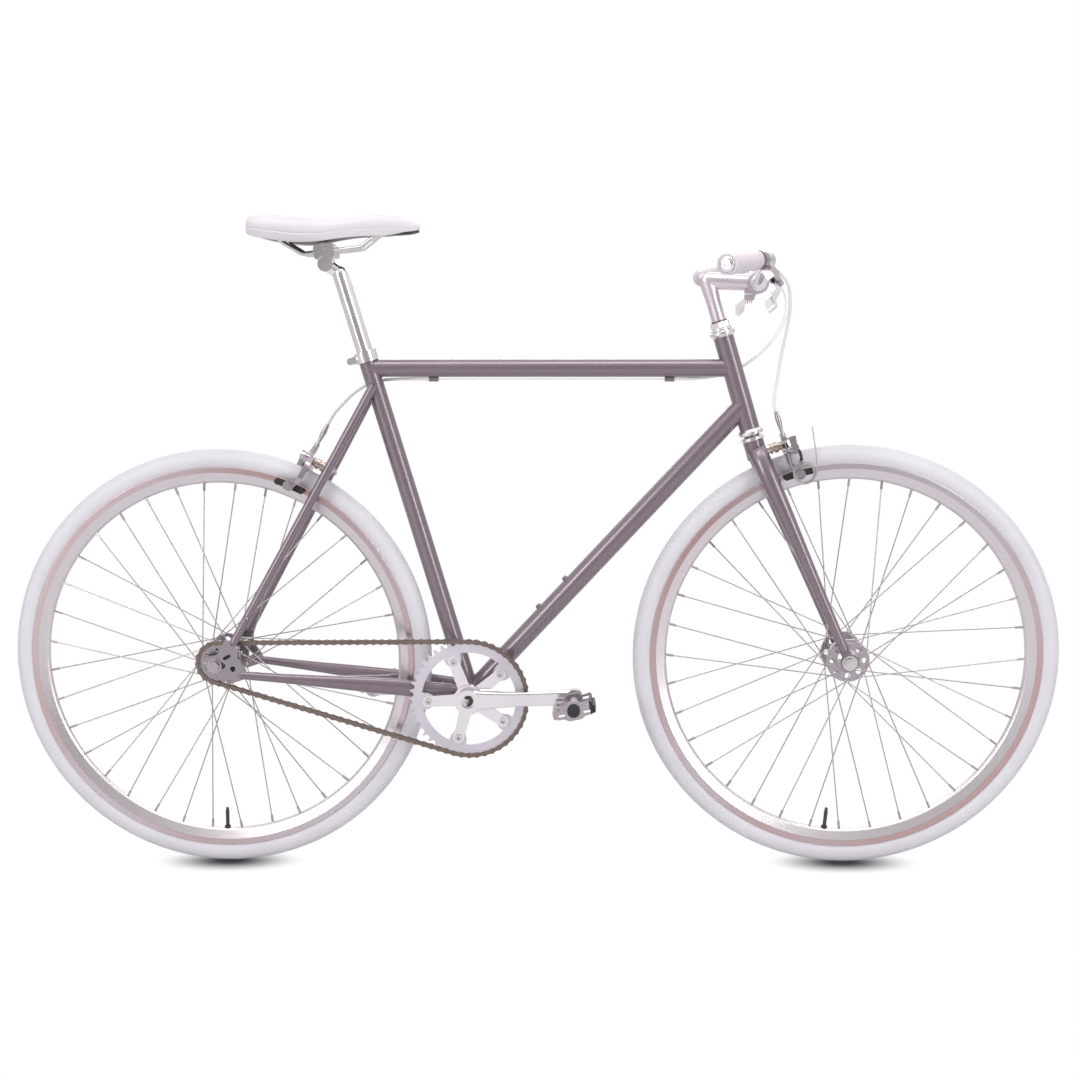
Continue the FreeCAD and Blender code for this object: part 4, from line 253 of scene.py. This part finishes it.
def frame_paint():
    """Metallic lacquer: fine flakes under a clear coat."""
    paint = Finish("taupe_lacquer", TAUPE, 0.34, 0.55)
    place = paint.add("ShaderNodeTexCoord")
    flakes = paint.add("ShaderNodeTexVoronoi")
    flakes.inputs["Scale"].default_value = 2600.0
    sparkle = paint.add("ShaderNodeMapRange")
    sparkle.inputs["From Min"].default_value = 0.0
    sparkle.inputs["From Max"].default_value = 1.0
    paint.link(place.outputs["Object"], flakes.inputs["Vector"])
    paint.link(flakes.outputs["Distance"], sparkle.inputs["Value"])
    paint.tint(sparkle.outputs["Result"], paint.scaled(1.07), paint.scaled(0.93))
    grain = paint.group(GRAIN, Size=120.0, Contrast=1.0)
    paint.gloss(grain.outputs["Mask"], 0.30, 0.40)
    paint.bump(grain.outputs["Height"], 0.015, 0.0002)
    paint.shader.inputs["Coat Weight"].default_value = 1.0
    paint.shader.inputs["Coat Roughness"].default_value = 0.05
    return paint.material


def tyre_rubber(name, centre):
    """White tyre rubber: smooth walls, a moulding line and a fine tread of slanted cuts."""
    rubber = Finish(name, TYRE_WHITE, 0.55)
    place = rubber.group(WHEEL_PLACE, Centre=centre)
    grain = rubber.group(GRAIN, Size=900.0, Contrast=1.0)
    rubber.tint(grain.outputs["Mask"], rubber.scaled(0.95), rubber.scaled(1.03))
    rubber.gloss(grain.outputs["Mask"], 0.48, 0.62)
    slant = rubber.add("ShaderNodeMath", operation="ABSOLUTE")
    lead = rubber.add("ShaderNodeMath", operation="MULTIPLY_ADD")
    lead.inputs[1].default_value = 9.0
    wave = rubber.add("ShaderNodeMath", operation="MULTIPLY")
    wave.inputs[1].default_value = 420.0
    swing = rubber.add("ShaderNodeMath", operation="SINE")
    tread = rubber.add("ShaderNodeMapRange")
    tread.inputs["From Min"].default_value = TYRE_RADIUS - 0.010
    tread.inputs["From Max"].default_value = TYRE_RADIUS - 0.007
    cut = rubber.add("ShaderNodeMath", operation="MULTIPLY")
    rubber.link(place.outputs["Side"], slant.inputs[0])
    rubber.link(slant.outputs[0], lead.inputs[0])
    rubber.link(place.outputs["Turn"], lead.inputs[2])
    rubber.link(lead.outputs[0], wave.inputs[0])
    rubber.link(wave.outputs[0], swing.inputs[0])
    rubber.link(place.outputs["Radius"], tread.inputs["Value"])
    rubber.link(tread.outputs["Result"], cut.inputs[0])
    rubber.link(swing.outputs[0], cut.inputs[1])
    rubber.bump(cut.outputs[0], 0.5, 0.0006)
    rings = rubber.add("ShaderNodeMath", operation="MULTIPLY")
    rings.inputs[1].default_value = 2200.0
    ribs = rubber.add("ShaderNodeMath", operation="SINE")
    rubber.link(place.outputs["Radius"], rings.inputs[0])
    rubber.link(rings.outputs[0], ribs.inputs[0])
    rubber.bump(ribs.outputs[0], 0.10, 0.0004)
    rubber.bump(grain.outputs["Height"], 0.10, 0.0002)
    return rubber.material


def rim_alloy(name, centre):
    """A satin rim with a polished brake track, whose tint drifts at random from silver to champagne; the champagne
    also stands in for a painted dark reflection on the track.
    """
    alloy = Finish(name, RIM_SATIN, 0.30, 1.0)
    place = alloy.group(WHEEL_PLACE, Centre=centre)
    drift = alloy.add("ShaderNodeTexNoise")
    drift.inputs["Scale"].default_value = 2.3
    drift.inputs["Detail"].default_value = 1.0
    spread = alloy.add("ShaderNodeMapRange")
    spread.inputs["From Min"].default_value = 0.38
    spread.inputs["From Max"].default_value = 0.62
    # Painted reflection: patches of the brake track tinted pinkish brown, partly the track's own champagne tone
    track_tint_and_reflection = alloy.add("ShaderNodeMix", data_type="RGBA")
    track_tint_and_reflection.inputs["A"].default_value = (*TRACK_SILVER, 1.0)
    track_tint_and_reflection.inputs["B"].default_value = (*CHAMPAGNE_AND_PAINTED_REFLECTION, 1.0)
    rings = alloy.add("ShaderNodeTexNoise", noise_dimensions="1D")
    rings.inputs["Scale"].default_value = 5200.0
    rings.inputs["Detail"].default_value = 2.0
    track = alloy.add("ShaderNodeMapRange")
    track.inputs["From Min"].default_value = RIM_RADIUS - BRAKE_TRACK - 0.0006
    track.inputs["From Max"].default_value = RIM_RADIUS - BRAKE_TRACK + 0.0002
    spot = alloy.add("ShaderNodeTexCoord")
    alloy.link(spot.outputs["Object"], drift.inputs["Vector"])
    alloy.link(drift.outputs["Fac"], spread.inputs["Value"])
    alloy.link(spread.outputs["Result"], track_tint_and_reflection.inputs["Factor"])
    alloy.link(place.outputs["Radius"], rings.inputs["W"])
    alloy.link(place.outputs["Radius"], track.inputs["Value"])
    mix = alloy.tint(track.outputs["Result"], RIM_SATIN, TRACK_SILVER)
    alloy.link(track_tint_and_reflection.outputs["Result"], mix.inputs["B"])
    alloy.gloss(rings.outputs["Fac"], 0.20, 0.38)
    alloy.bump(rings.outputs["Fac"], 0.25, 0.0001)
    return alloy.material


def metal(name, color, low, high, grain_size=500.0, bump=0.05):
    """Bare or plated metal, with gloss that varies over the piece."""
    bare = Finish(name, color, low, 1.0)
    grain = bare.group(GRAIN, Size=grain_size, Contrast=1.0)
    bare.tint(grain.outputs["Mask"], bare.scaled(0.92), bare.scaled(1.04))
    bare.gloss(grain.outputs["Mask"], low, high)
    bare.bump(grain.outputs["Height"], bump, 0.0001)
    return bare.material


def moulded(name, color, low, high, grain_size=700.0, bump=0.2, coat=0.0):
    """Rubber or plastic with a fine moulded grain."""
    soft = Finish(name, color, low)
    grain = soft.group(GRAIN, Size=grain_size, Contrast=1.0)
    soft.tint(grain.outputs["Mask"], soft.scaled(0.93), soft.scaled(1.05))
    soft.gloss(grain.outputs["Mask"], low, high)
    soft.bump(grain.outputs["Height"], bump, 0.0002)
    soft.shader.inputs["Coat Weight"].default_value = coat
    return soft.material


def saddle_leather():
    """Smooth white leather with a small pebbled grain."""
    hide = Finish("white_saddle_leather", LEATHER_WHITE, 0.45)
    place = hide.add("ShaderNodeTexCoord")
    pebbles = hide.add("ShaderNodeTexVoronoi", feature="SMOOTH_F1")
    pebbles.inputs["Scale"].default_value = 620.0
    hide.link(place.outputs["Object"], pebbles.inputs["Vector"])
    grain = hide.group(GRAIN, Size=300.0, Contrast=1.0)
    hide.tint(grain.outputs["Mask"], hide.scaled(0.96), hide.scaled(1.03))
    hide.gloss(pebbles.outputs["Distance"], 0.38, 0.55)
    hide.bump(pebbles.outputs["Distance"], 0.22, 0.0003)
    hide.shader.inputs["Sheen Weight"].default_value = 0.1
    return hide.material


def grip_rubber():
    """White grip rubber with shallow rings along the bar."""
    rubber = Finish("white_grip_rubber", GRIP_WHITE, 0.5)
    place = rubber.add("ShaderNodeTexCoord")
    parts = rubber.add("ShaderNodeSeparateXYZ")
    rings = rubber.add("ShaderNodeMath", operation="MULTIPLY")
    rings.inputs[1].default_value = 1900.0
    ribs = rubber.add("ShaderNodeMath", operation="SINE")
    rubber.link(place.outputs["Object"], parts.inputs["Vector"])
    rubber.link(parts.outputs["Y"], rings.inputs[0])
    rubber.link(rings.outputs[0], ribs.inputs[0])
    rubber.bump(ribs.outputs[0], 0.25, 0.0004)
    grain = rubber.group(GRAIN, Size=800.0, Contrast=1.0)
    rubber.tint(grain.outputs["Mask"], rubber.scaled(0.95), rubber.scaled(1.03))
    rubber.gloss(grain.outputs["Mask"], 0.42, 0.58)
    rubber.bump(grain.outputs["Height"], 0.15, 0.0002)
    return rubber.material


PAINT = frame_paint()
ALLOY = metal("polished_alloy", BRIGHT_ALLOY, 0.12, 0.24)
SATIN_ALLOY = metal("satin_alloy", BRIGHT_ALLOY, 0.28, 0.42)
STEEL = metal("spoke_steel", SPOKE_STEEL, 0.22, 0.34)
CAST = metal("cast_alloy", CAST_ALLOY, 0.16, 0.32)
STEM_METAL = metal("stem_alloy", STEM_ALLOY, 0.26, 0.38)
VALVE_METAL = metal("dark_valve_metal", DARK_STEEL, 0.30, 0.45)
DROPOUT_STEEL = metal("track_end_steel", TRACK_END_GREY, 0.16, 0.34)
PLATE_STEEL = metal("plated_steel", (0.74, 0.72, 0.71), 0.18, 0.30)
RING = metal("ring_alloy", RING_GREY, 0.42, 0.55)
CHAIN = metal("chain_steel", CHAIN_BRONZE, 0.30, 0.50, 900.0, 0.1)
BRASS_METAL = metal("brass_washer", BRASS, 0.25, 0.38)
CABLE = moulded("white_cable_sleeve", CABLE_WHITE, 0.30, 0.42, 900.0, 0.05)
GRIP = grip_rubber()
LEATHER = saddle_leather()
BLACK_RUBBER = moulded("brake_pad_rubber", PAD_BLACK, 0.55, 0.70)
# Black plastic, also the painted shade between each crank bolt and its recess wall
BLACK_PLASTIC_AND_SHADE = moulded("black_moulding_and_painted_shade", PLASTIC_AND_SHADE_BLACK, 0.35, 0.50)
REAR_TYRE = tyre_rubber("rear_tyre_rubber", REAR_HUB)
FRONT_TYRE = tyre_rubber("front_tyre_rubber", FRONT_HUB)
REAR_RIM = rim_alloy("rear_rim_alloy", REAR_HUB)
FRONT_RIM = rim_alloy("front_rim_alloy", FRONT_HUB)

NODE_FINISH = {
    "head_tube": PAINT, "top_tube": PAINT, "down_tube": PAINT, "seat_tube": PAINT,
    "bottom_bracket_shell": PAINT, "chain_stays": PAINT, "seat_stays": PAINT, "braze_ons": PAINT,
    "fork": PAINT, "track_ends": DROPOUT_STEEL, "bearing_cups": ALLOY, "seat_clamp": ALLOY,
    "rear_axle": CAST, "front_axle": PLATE_STEEL, "rear_brake_mount": PLATE_STEEL,
    "front_brake_mount": PLATE_STEEL, "rear_cable_front": CABLE, "rear_cable_rear": CABLE,
    "front_brake_cable": CABLE, "chain": CHAIN, "rear_hub": CAST, "front_hub": CAST,
    "rear_spokes": STEEL, "front_spokes": STEEL, "rear_rim": REAR_RIM, "front_rim": FRONT_RIM,
    "rear_tyre": REAR_TYRE, "front_tyre": FRONT_TYRE, "rear_valve": VALVE_METAL,
    "front_valve": VALVE_METAL, "rear_cog": DROPOUT_STEEL, "headset_top": ALLOY, "stem": STEM_METAL,
    "handlebar": ALLOY, "grips": GRIP, "bar_plugs": ALLOY, "lever_brackets": CAST,
    "right_brake_lever": ALLOY, "left_brake_lever": ALLOY, "front_brake_stop_arm": CAST,
    "front_brake_anchor_arm": CAST, "rear_brake_stop_arm": CAST, "rear_brake_anchor_arm": CAST,
    "front_brake_stop_pad": BLACK_RUBBER, "front_brake_anchor_pad": BLACK_RUBBER,
    "rear_brake_stop_pad": BLACK_RUBBER, "rear_brake_anchor_pad": BLACK_RUBBER,
    "right_crank": ALLOY, "left_crank": ALLOY, "chainring": RING, "crank_spindle": PLATE_STEEL,
    "pedal_axles": PLATE_STEEL, "right_pedal": CAST, "left_pedal": CAST,
    "seatpost": ALLOY, "saddle_top": LEATHER, "saddle_base": BLACK_PLASTIC_AND_SHADE,
    "saddle_rails": PLATE_STEEL, "saddle_clamp": ALLOY,
}


def finish_nodes():
    for name, material in NODE_FINISH.items():
        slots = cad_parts[name].data.materials
        slots.clear()
        slots.append(material)


def finish_where(name, material, chosen):
    """Gives the faces of a CAD node that the test picks a second finish."""
    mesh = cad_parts[name].data
    mesh.materials.append(material)
    index = len(mesh.materials) - 1
    for face in mesh.polygons:
        if chosen(face.center):
            face.material_index = index


def along(point, base, axis):
    return (Vector(point) - base).dot(axis)


def finish_details():
    """Black mouldings, caps, a painted shade in the crank bolt recesses and brass washers on nodes that are
    otherwise metal.
    """
    # Painted shade: the ring between each crank bolt and the wall of its recess is coloured black
    axle = sum(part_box("crank_spindle"), Vector()) / 2
    finish_where("crank_spindle", BLACK_PLASTIC_AND_SHADE, lambda c: 0.0058 < math.hypot(c.x - axle.x, c.z - axle.z) < 0.0125)
    for name, turn in (("right_pedal", CRANK_TURN), ("left_pedal", CRANK_TURN + math.pi)):
        centre = axle + Vector((math.cos(turn), 0, math.sin(turn))) * CRANK_LENGTH
        ahead = Vector((math.cos(PEDAL_TILT), 0, math.sin(PEDAL_TILT)))
        finish_where(name, BLACK_PLASTIC_AND_SHADE, lambda c: abs(along(c, centre, ahead)) > 0.0292 or abs(c.y) > 0.1602)
    for name, pivot, out in (
        ("front_brake_mount", FRONT_PIVOT, FRONT_OUT), ("rear_brake_mount", REAR_PIVOT, REAR_OUT),
    ):
        finish_where(name, BRASS_METAL, lambda c: -0.026 < along(c, pivot, out) < -0.010)

    def on_guard(c):
        out = along(c, FRONT_PIVOT, FRONT_OUT)
        up = along(c, FRONT_PIVOT, FRONT_UP)
        return -0.0462 < c.y < -0.0378 and out > 0.0078 and -0.0325 < up < -0.0005

    finish_where("front_brake_anchor_arm", BLACK_PLASTIC_AND_SHADE, on_guard)

    def on_bare_wire(c):
        up = along(c, FRONT_PIVOT, FRONT_UP)
        return up < 0.040 or (along(c, FRONT_PIVOT, FRONT_OUT) > 0.022 and up < 0.075)

    finish_where("front_brake_cable", STEEL, on_bare_wire)


def between(sections, steps):
    """Sections at even steps on a smooth line through the given ones."""
    rows = []
    last = len(sections) - 1
    for i in range(last):
        before, after = sections[max(i - 1, 0)], sections[min(i + 2, last)]
        for step in range(steps):
            t = step / steps
            rows.append(tuple(
                b + 0.5 * t * (c - a + t * (2 * a - 5 * b + 4 * c - d + t * (3 * b - a - 3 * c + d)))
                for a, b, c, d in zip(before, sections[i], sections[i + 1], after)
            ))
    return rows + [sections[last]]


def grid_mesh(name, rings, capped):
    """A closed band of quads through rings of as many points each, with or without end faces."""
    mesh = bmesh.new()
    rows = [[mesh.verts.new(point) for point in ring] for ring in rings]
    count = len(rows[0])
    pairs = list(zip(rows, rows[1:]))
    if not capped:
        pairs.append((rows[-1], rows[0]))
    for near, far in pairs:
        for i in range(count):
            j = (i + 1) % count
            mesh.faces.new((near[i], near[j], far[j], far[i]))
    if capped:
        mesh.faces.new(rows[0][::-1])
        mesh.faces.new(rows[-1])
    bmesh.ops.recalc_face_normals(mesh, faces=mesh.faces)
    data = bpy.data.meshes.new(name)
    mesh.to_mesh(data)
    mesh.free()
    for face in data.polygons:
        face.use_smooth = True
    piece = bpy.data.objects.new(name, data)
    bpy.context.scene.collection.objects.link(piece)
    return piece


def cover_ring(x, half, top, bottom, skirt):
    """One slice of the saddle cover, with the lip that wraps under its edge."""
    profile = [(share, bottom + (top - bottom) * rise) for share, rise in COVER_PROFILE]
    lip = [(0.45, bottom), (0.845, bottom), (0.85, bottom - skirt), (0.90, bottom - skirt * 1.1)]
    right = [(share * half, height) for share, height in lip + profile]
    left = [(-y, z) for y, z in reversed(right)]
    return [Vector((x, y, z)) for y, z in right + [(0.0, top)] + left + [(0.0, bottom)]]


def drawn_in(ring, share, shift):
    """The ring drawn in to its middle and moved along the bicycle, for a rounded end."""
    middle = sum(ring, Vector()) / len(ring)
    return [middle + (point - middle) * share + Vector((shift, 0, 0)) for point in ring]


def saddle_cover():
    """The padded cover: a crowned form with a sewn line above its wrapped edge."""
    rings = []
    for x, half, top, bottom in between(COVER_SECTIONS, 4):
        skirt = COVER_SKIRT * min(1.0, max(0.0, (SKIRT_END - x) / SKIRT_FADE))
        rings.append(cover_ring(x, half, top, bottom, skirt))
    back = [drawn_in(rings[0], 0.45, -0.0011), drawn_in(rings[0], 0.8, -0.0008)]
    front = [drawn_in(rings[-1], 0.8, 0.0008), drawn_in(rings[-1], 0.45, 0.0011)]
    cover = grid_mesh("saddle_cover", back + rings + front, True)
    smooth = cover.modifiers.new("smooth", "SUBSURF")
    smooth.levels = 2
    smooth.render_levels = 2
    cover.data.materials.append(LEATHER)
    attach(cover, "saddle")
    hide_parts("saddle_top")


def grip_sleeve(name, side):
    """A rubber sleeve with rolled ends, two fine grooves near each and a slight swell."""
    end = Vector((BAR_END.x, BAR_END.y * side, BAR_END.z))
    bend = Vector((BAR_BEND.x, BAR_BEND.y * side, BAR_BEND.z))
    run = (bend - end).normalized()
    across = run.cross(Vector((0, 0, 1))).normalized()
    above = across.cross(run)
    half = [(0.0004, GRIP_BORE), (0.0, 0.0134), (0.0008, 0.0148), (0.0028, 0.0154)]
    for groove in (0.008, 0.012):
        half += [(groove - 0.0006, 0.0154), (groove, 0.0147), (groove + 0.0006, 0.0154)]
    half.append((0.03, 0.0151))
    profile = half + [(GRIP_LENGTH - place, radius) for place, radius in reversed(half)]
    rings = []
    for place, radius in profile:
        ring = []
        for i in range(GRIP_SIDES):
            turn = math.tau * i / GRIP_SIDES
            ring.append(end + run * place + (across * math.cos(turn) + above * math.sin(turn)) * radius)
        rings.append(ring)
    sleeve = grid_mesh(name, rings, False)
    sleeve.data.materials.append(GRIP)
    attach(sleeve, "fork")
    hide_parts("grips")


def white_room():
    """White to the camera; for light and gloss, bright above and dim below and behind the camera."""
    world = bpy.data.worlds.new("pale_room")
    bpy.context.scene.world = world
    world.use_nodes = True
    tree = world.node_tree
    tree.nodes.clear()
    out = place_nodes(tree, "ShaderNodeOutputWorld")
    mix = place_nodes(tree, "ShaderNodeMixShader")
    light = place_nodes(tree, "ShaderNodeBackground")
    seen = place_nodes(tree, "ShaderNodeBackground")
    path = place_nodes(tree, "ShaderNodeLightPath")
    place = place_nodes(tree, "ShaderNodeTexCoord")
    parts = place_nodes(tree, "ShaderNodeSeparateXYZ")
    height = place_nodes(tree, "ShaderNodeMapRange", interpolation_type="SMOOTHSTEP")
    depth = place_nodes(tree, "ShaderNodeMapRange", interpolation_type="SMOOTHSTEP")
    level = place_nodes(tree, "ShaderNodeMath", operation="MULTIPLY")
    rays = place_nodes(tree, "ShaderNodeMath", operation="MAXIMUM")
    seen.inputs["Color"].default_value = (1.0, 1.0, 1.0, 1.0)
    light.inputs["Color"].default_value = (1.0, 0.975, 0.995, 1.0)
    height.inputs["From Min"].default_value = -0.5
    height.inputs["From Max"].default_value = 0.75
    height.inputs["To Min"].default_value = 0.22
    height.inputs["To Max"].default_value = 1.0
    depth.inputs["From Min"].default_value = -0.95
    depth.inputs["From Max"].default_value = -0.45
    depth.inputs["To Min"].default_value = 0.62
    depth.inputs["To Max"].default_value = 1.0
    link = tree.links.new
    link(place.outputs["Generated"], parts.inputs["Vector"])
    link(parts.outputs["Z"], height.inputs["Value"])
    link(parts.outputs["Y"], depth.inputs["Value"])
    link(height.outputs["Result"], level.inputs[0])
    link(depth.outputs["Result"], level.inputs[1])
    link(level.outputs[0], light.inputs["Strength"])
    link(path.outputs["Is Camera Ray"], rays.inputs[0])
    link(path.outputs["Is Transmission Ray"], rays.inputs[1])
    link(rays.outputs[0], mix.inputs["Fac"])
    link(light.outputs[0], mix.inputs[1])
    link(seen.outputs[0], mix.inputs[2])
    link(mix.outputs[0], out.inputs["Surface"])


def painted_shadow_group():
    """Strength of the painted shadow under a wheel: how near a point of the floor is to where a wheel stands, from
    0 to 1.
    """
    tree, inside, outside = new_group(
        "painted_wheel_shadow",
        (("Centre", "NodeSocketVector", (0.0, 0.0, 0.0)),),
        (("Mask", "NodeSocketFloat"),),
    )
    place = place_nodes(tree, "ShaderNodeTexCoord")
    shift = place_nodes(tree, "ShaderNodeVectorMath", operation="SUBTRACT")
    shape = place_nodes(tree, "ShaderNodeVectorMath", operation="MULTIPLY")
    shape.inputs[1].default_value = (1 / PAINTED_SHADOW_LENGTH, 1 / PAINTED_SHADOW_WIDTH, 0.0)
    reach = place_nodes(tree, "ShaderNodeVectorMath", operation="LENGTH")
    fade = place_nodes(tree, "ShaderNodeMapRange", interpolation_type="SMOOTHSTEP")
    fade.inputs["From Min"].default_value = 1.0
    fade.inputs["From Max"].default_value = 0.1
    link = tree.links.new
    link(place.outputs["Object"], shift.inputs[0])
    link(inside.outputs["Centre"], shift.inputs[1])
    link(shift.outputs["Vector"], shape.inputs[0])
    link(shape.outputs["Vector"], reach.inputs[0])
    link(reach.outputs["Value"], fade.inputs["Value"])
    link(fade.outputs["Result"], outside.inputs["Mask"])
    return tree


def pale_floor():
    """A pale floor that reads as white, with a painted shadow only where each wheel stands on it."""
    mesh = bpy.data.meshes.new("floor")
    reach = 14.0
    mesh.from_pydata(
        [(-reach, -reach, 0), (reach, -reach, 0), (reach, reach, 0), (-reach, reach, 0)], [], [(0, 1, 2, 3)]
    )
    floor = bpy.data.objects.new("floor", mesh)
    bpy.context.scene.collection.objects.link(floor)
    floor.location.z = -0.0006
    material = bpy.data.materials.new("pale_floor")
    material.use_nodes = True
    tree = material.node_tree
    tree.nodes.clear()
    out = place_nodes(tree, "ShaderNodeOutputMaterial")
    matt = place_nodes(tree, "ShaderNodeBsdfDiffuse")
    matt.inputs["Color"].default_value = (0.62, 0.61, 0.62, 1.0)
    glow = place_nodes(tree, "ShaderNodeEmission")
    path = place_nodes(tree, "ShaderNodeLightPath")
    both_shadows = place_nodes(tree, "ShaderNodeMath", operation="ADD")
    # Painted shadow: the floor's white darkens to near black around each wheel's contact
    shade = place_nodes(tree, "ShaderNodeMix", data_type="RGBA")
    shade.inputs["A"].default_value = (1.0, 1.0, 1.0, 1.0)
    shade.inputs["B"].default_value = (0.05, 0.05, 0.06, 1.0)
    mix = place_nodes(tree, "ShaderNodeMixShader")
    link = tree.links.new
    shadow_tree = painted_shadow_group()
    # One painted shadow spot under each wheel
    for socket, hub in ((0, REAR_HUB), (1, FRONT_HUB)):
        spot = place_nodes(tree, "ShaderNodeGroup")
        spot.node_tree = shadow_tree
        spot.inputs["Centre"].default_value = (hub.x, PAINTED_SHADOW_SIDE, 0.0)
        link(spot.outputs["Mask"], both_shadows.inputs[socket])
    link(both_shadows.outputs[0], shade.inputs["Factor"])
    link(shade.outputs["Result"], glow.inputs["Color"])
    link(path.outputs["Is Camera Ray"], mix.inputs["Fac"])
    link(matt.outputs[0], mix.inputs[1])
    link(glow.outputs[0], mix.inputs[2])
    link(mix.outputs[0], out.inputs["Surface"])
    mesh.materials.append(material)


def area_light(name, place, aim, wide, tall, power):
    data = bpy.data.lights.new(name, "AREA")
    data.shape = "RECTANGLE"
    data.size = wide
    data.size_y = tall
    data.energy = power
    lamp = bpy.data.objects.new(name, data)
    bpy.context.scene.collection.objects.link(lamp)
    lamp.location = place
    lamp.rotation_mode = "QUATERNION"
    lamp.rotation_quaternion = (Vector(aim) - Vector(place)).to_track_quat("-Z", "Y")


def lights():
    area_light("overhead", (0.2, -0.9, 3.2), (0.0, 0.0, 0.4), 3.2, 0.9, 30.0)
    area_light("front_left", (-2.6, -3.0, 1.6), (0.0, 0.0, 0.5), 0.9, 2.4, 40.0)
    area_light("front_right", (2.8, -2.6, 1.4), (0.1, 0.0, 0.5), 0.8, 2.4, 34.0)
    area_light("behind", (0.0, 3.0, 2.2), (0.0, 0.0, 0.6), 3.0, 1.0, 30.0)


def camera():
    data = bpy.data.cameras.new("photo_camera")
    data.sensor_width = SENSOR
    data.lens = LENS
    data.clip_start = 0.05
    data.clip_end = 60.0
    lens = bpy.data.objects.new("photo_camera", data)
    bpy.context.scene.collection.objects.link(lens)
    ahead = Vector((
        math.sin(CAMERA_YAW) * math.cos(CAMERA_PITCH),
        math.cos(CAMERA_YAW) * math.cos(CAMERA_PITCH),
        math.sin(CAMERA_PITCH),
    ))
    level = Vector((math.cos(CAMERA_YAW), -math.sin(CAMERA_YAW), 0.0))
    upright = level.cross(ahead)
    right = level * math.cos(CAMERA_ROLL) + upright * math.sin(CAMERA_ROLL)
    above = upright * math.cos(CAMERA_ROLL) - level * math.sin(CAMERA_ROLL)
    turn = Matrix((right, above, -ahead)).transposed()
    lens.matrix_world = Matrix.Translation(CAMERA_PLACE) @ turn.to_4x4()
    bpy.context.scene.camera = lens


finish_nodes()
finish_details()
saddle_cover()
grip_sleeve("right_grip", -1)
grip_sleeve("left_grip", 1)
white_room()
pale_floor()
lights()
camera()
bpy.context.scene.view_settings.view_transform = "Standard"
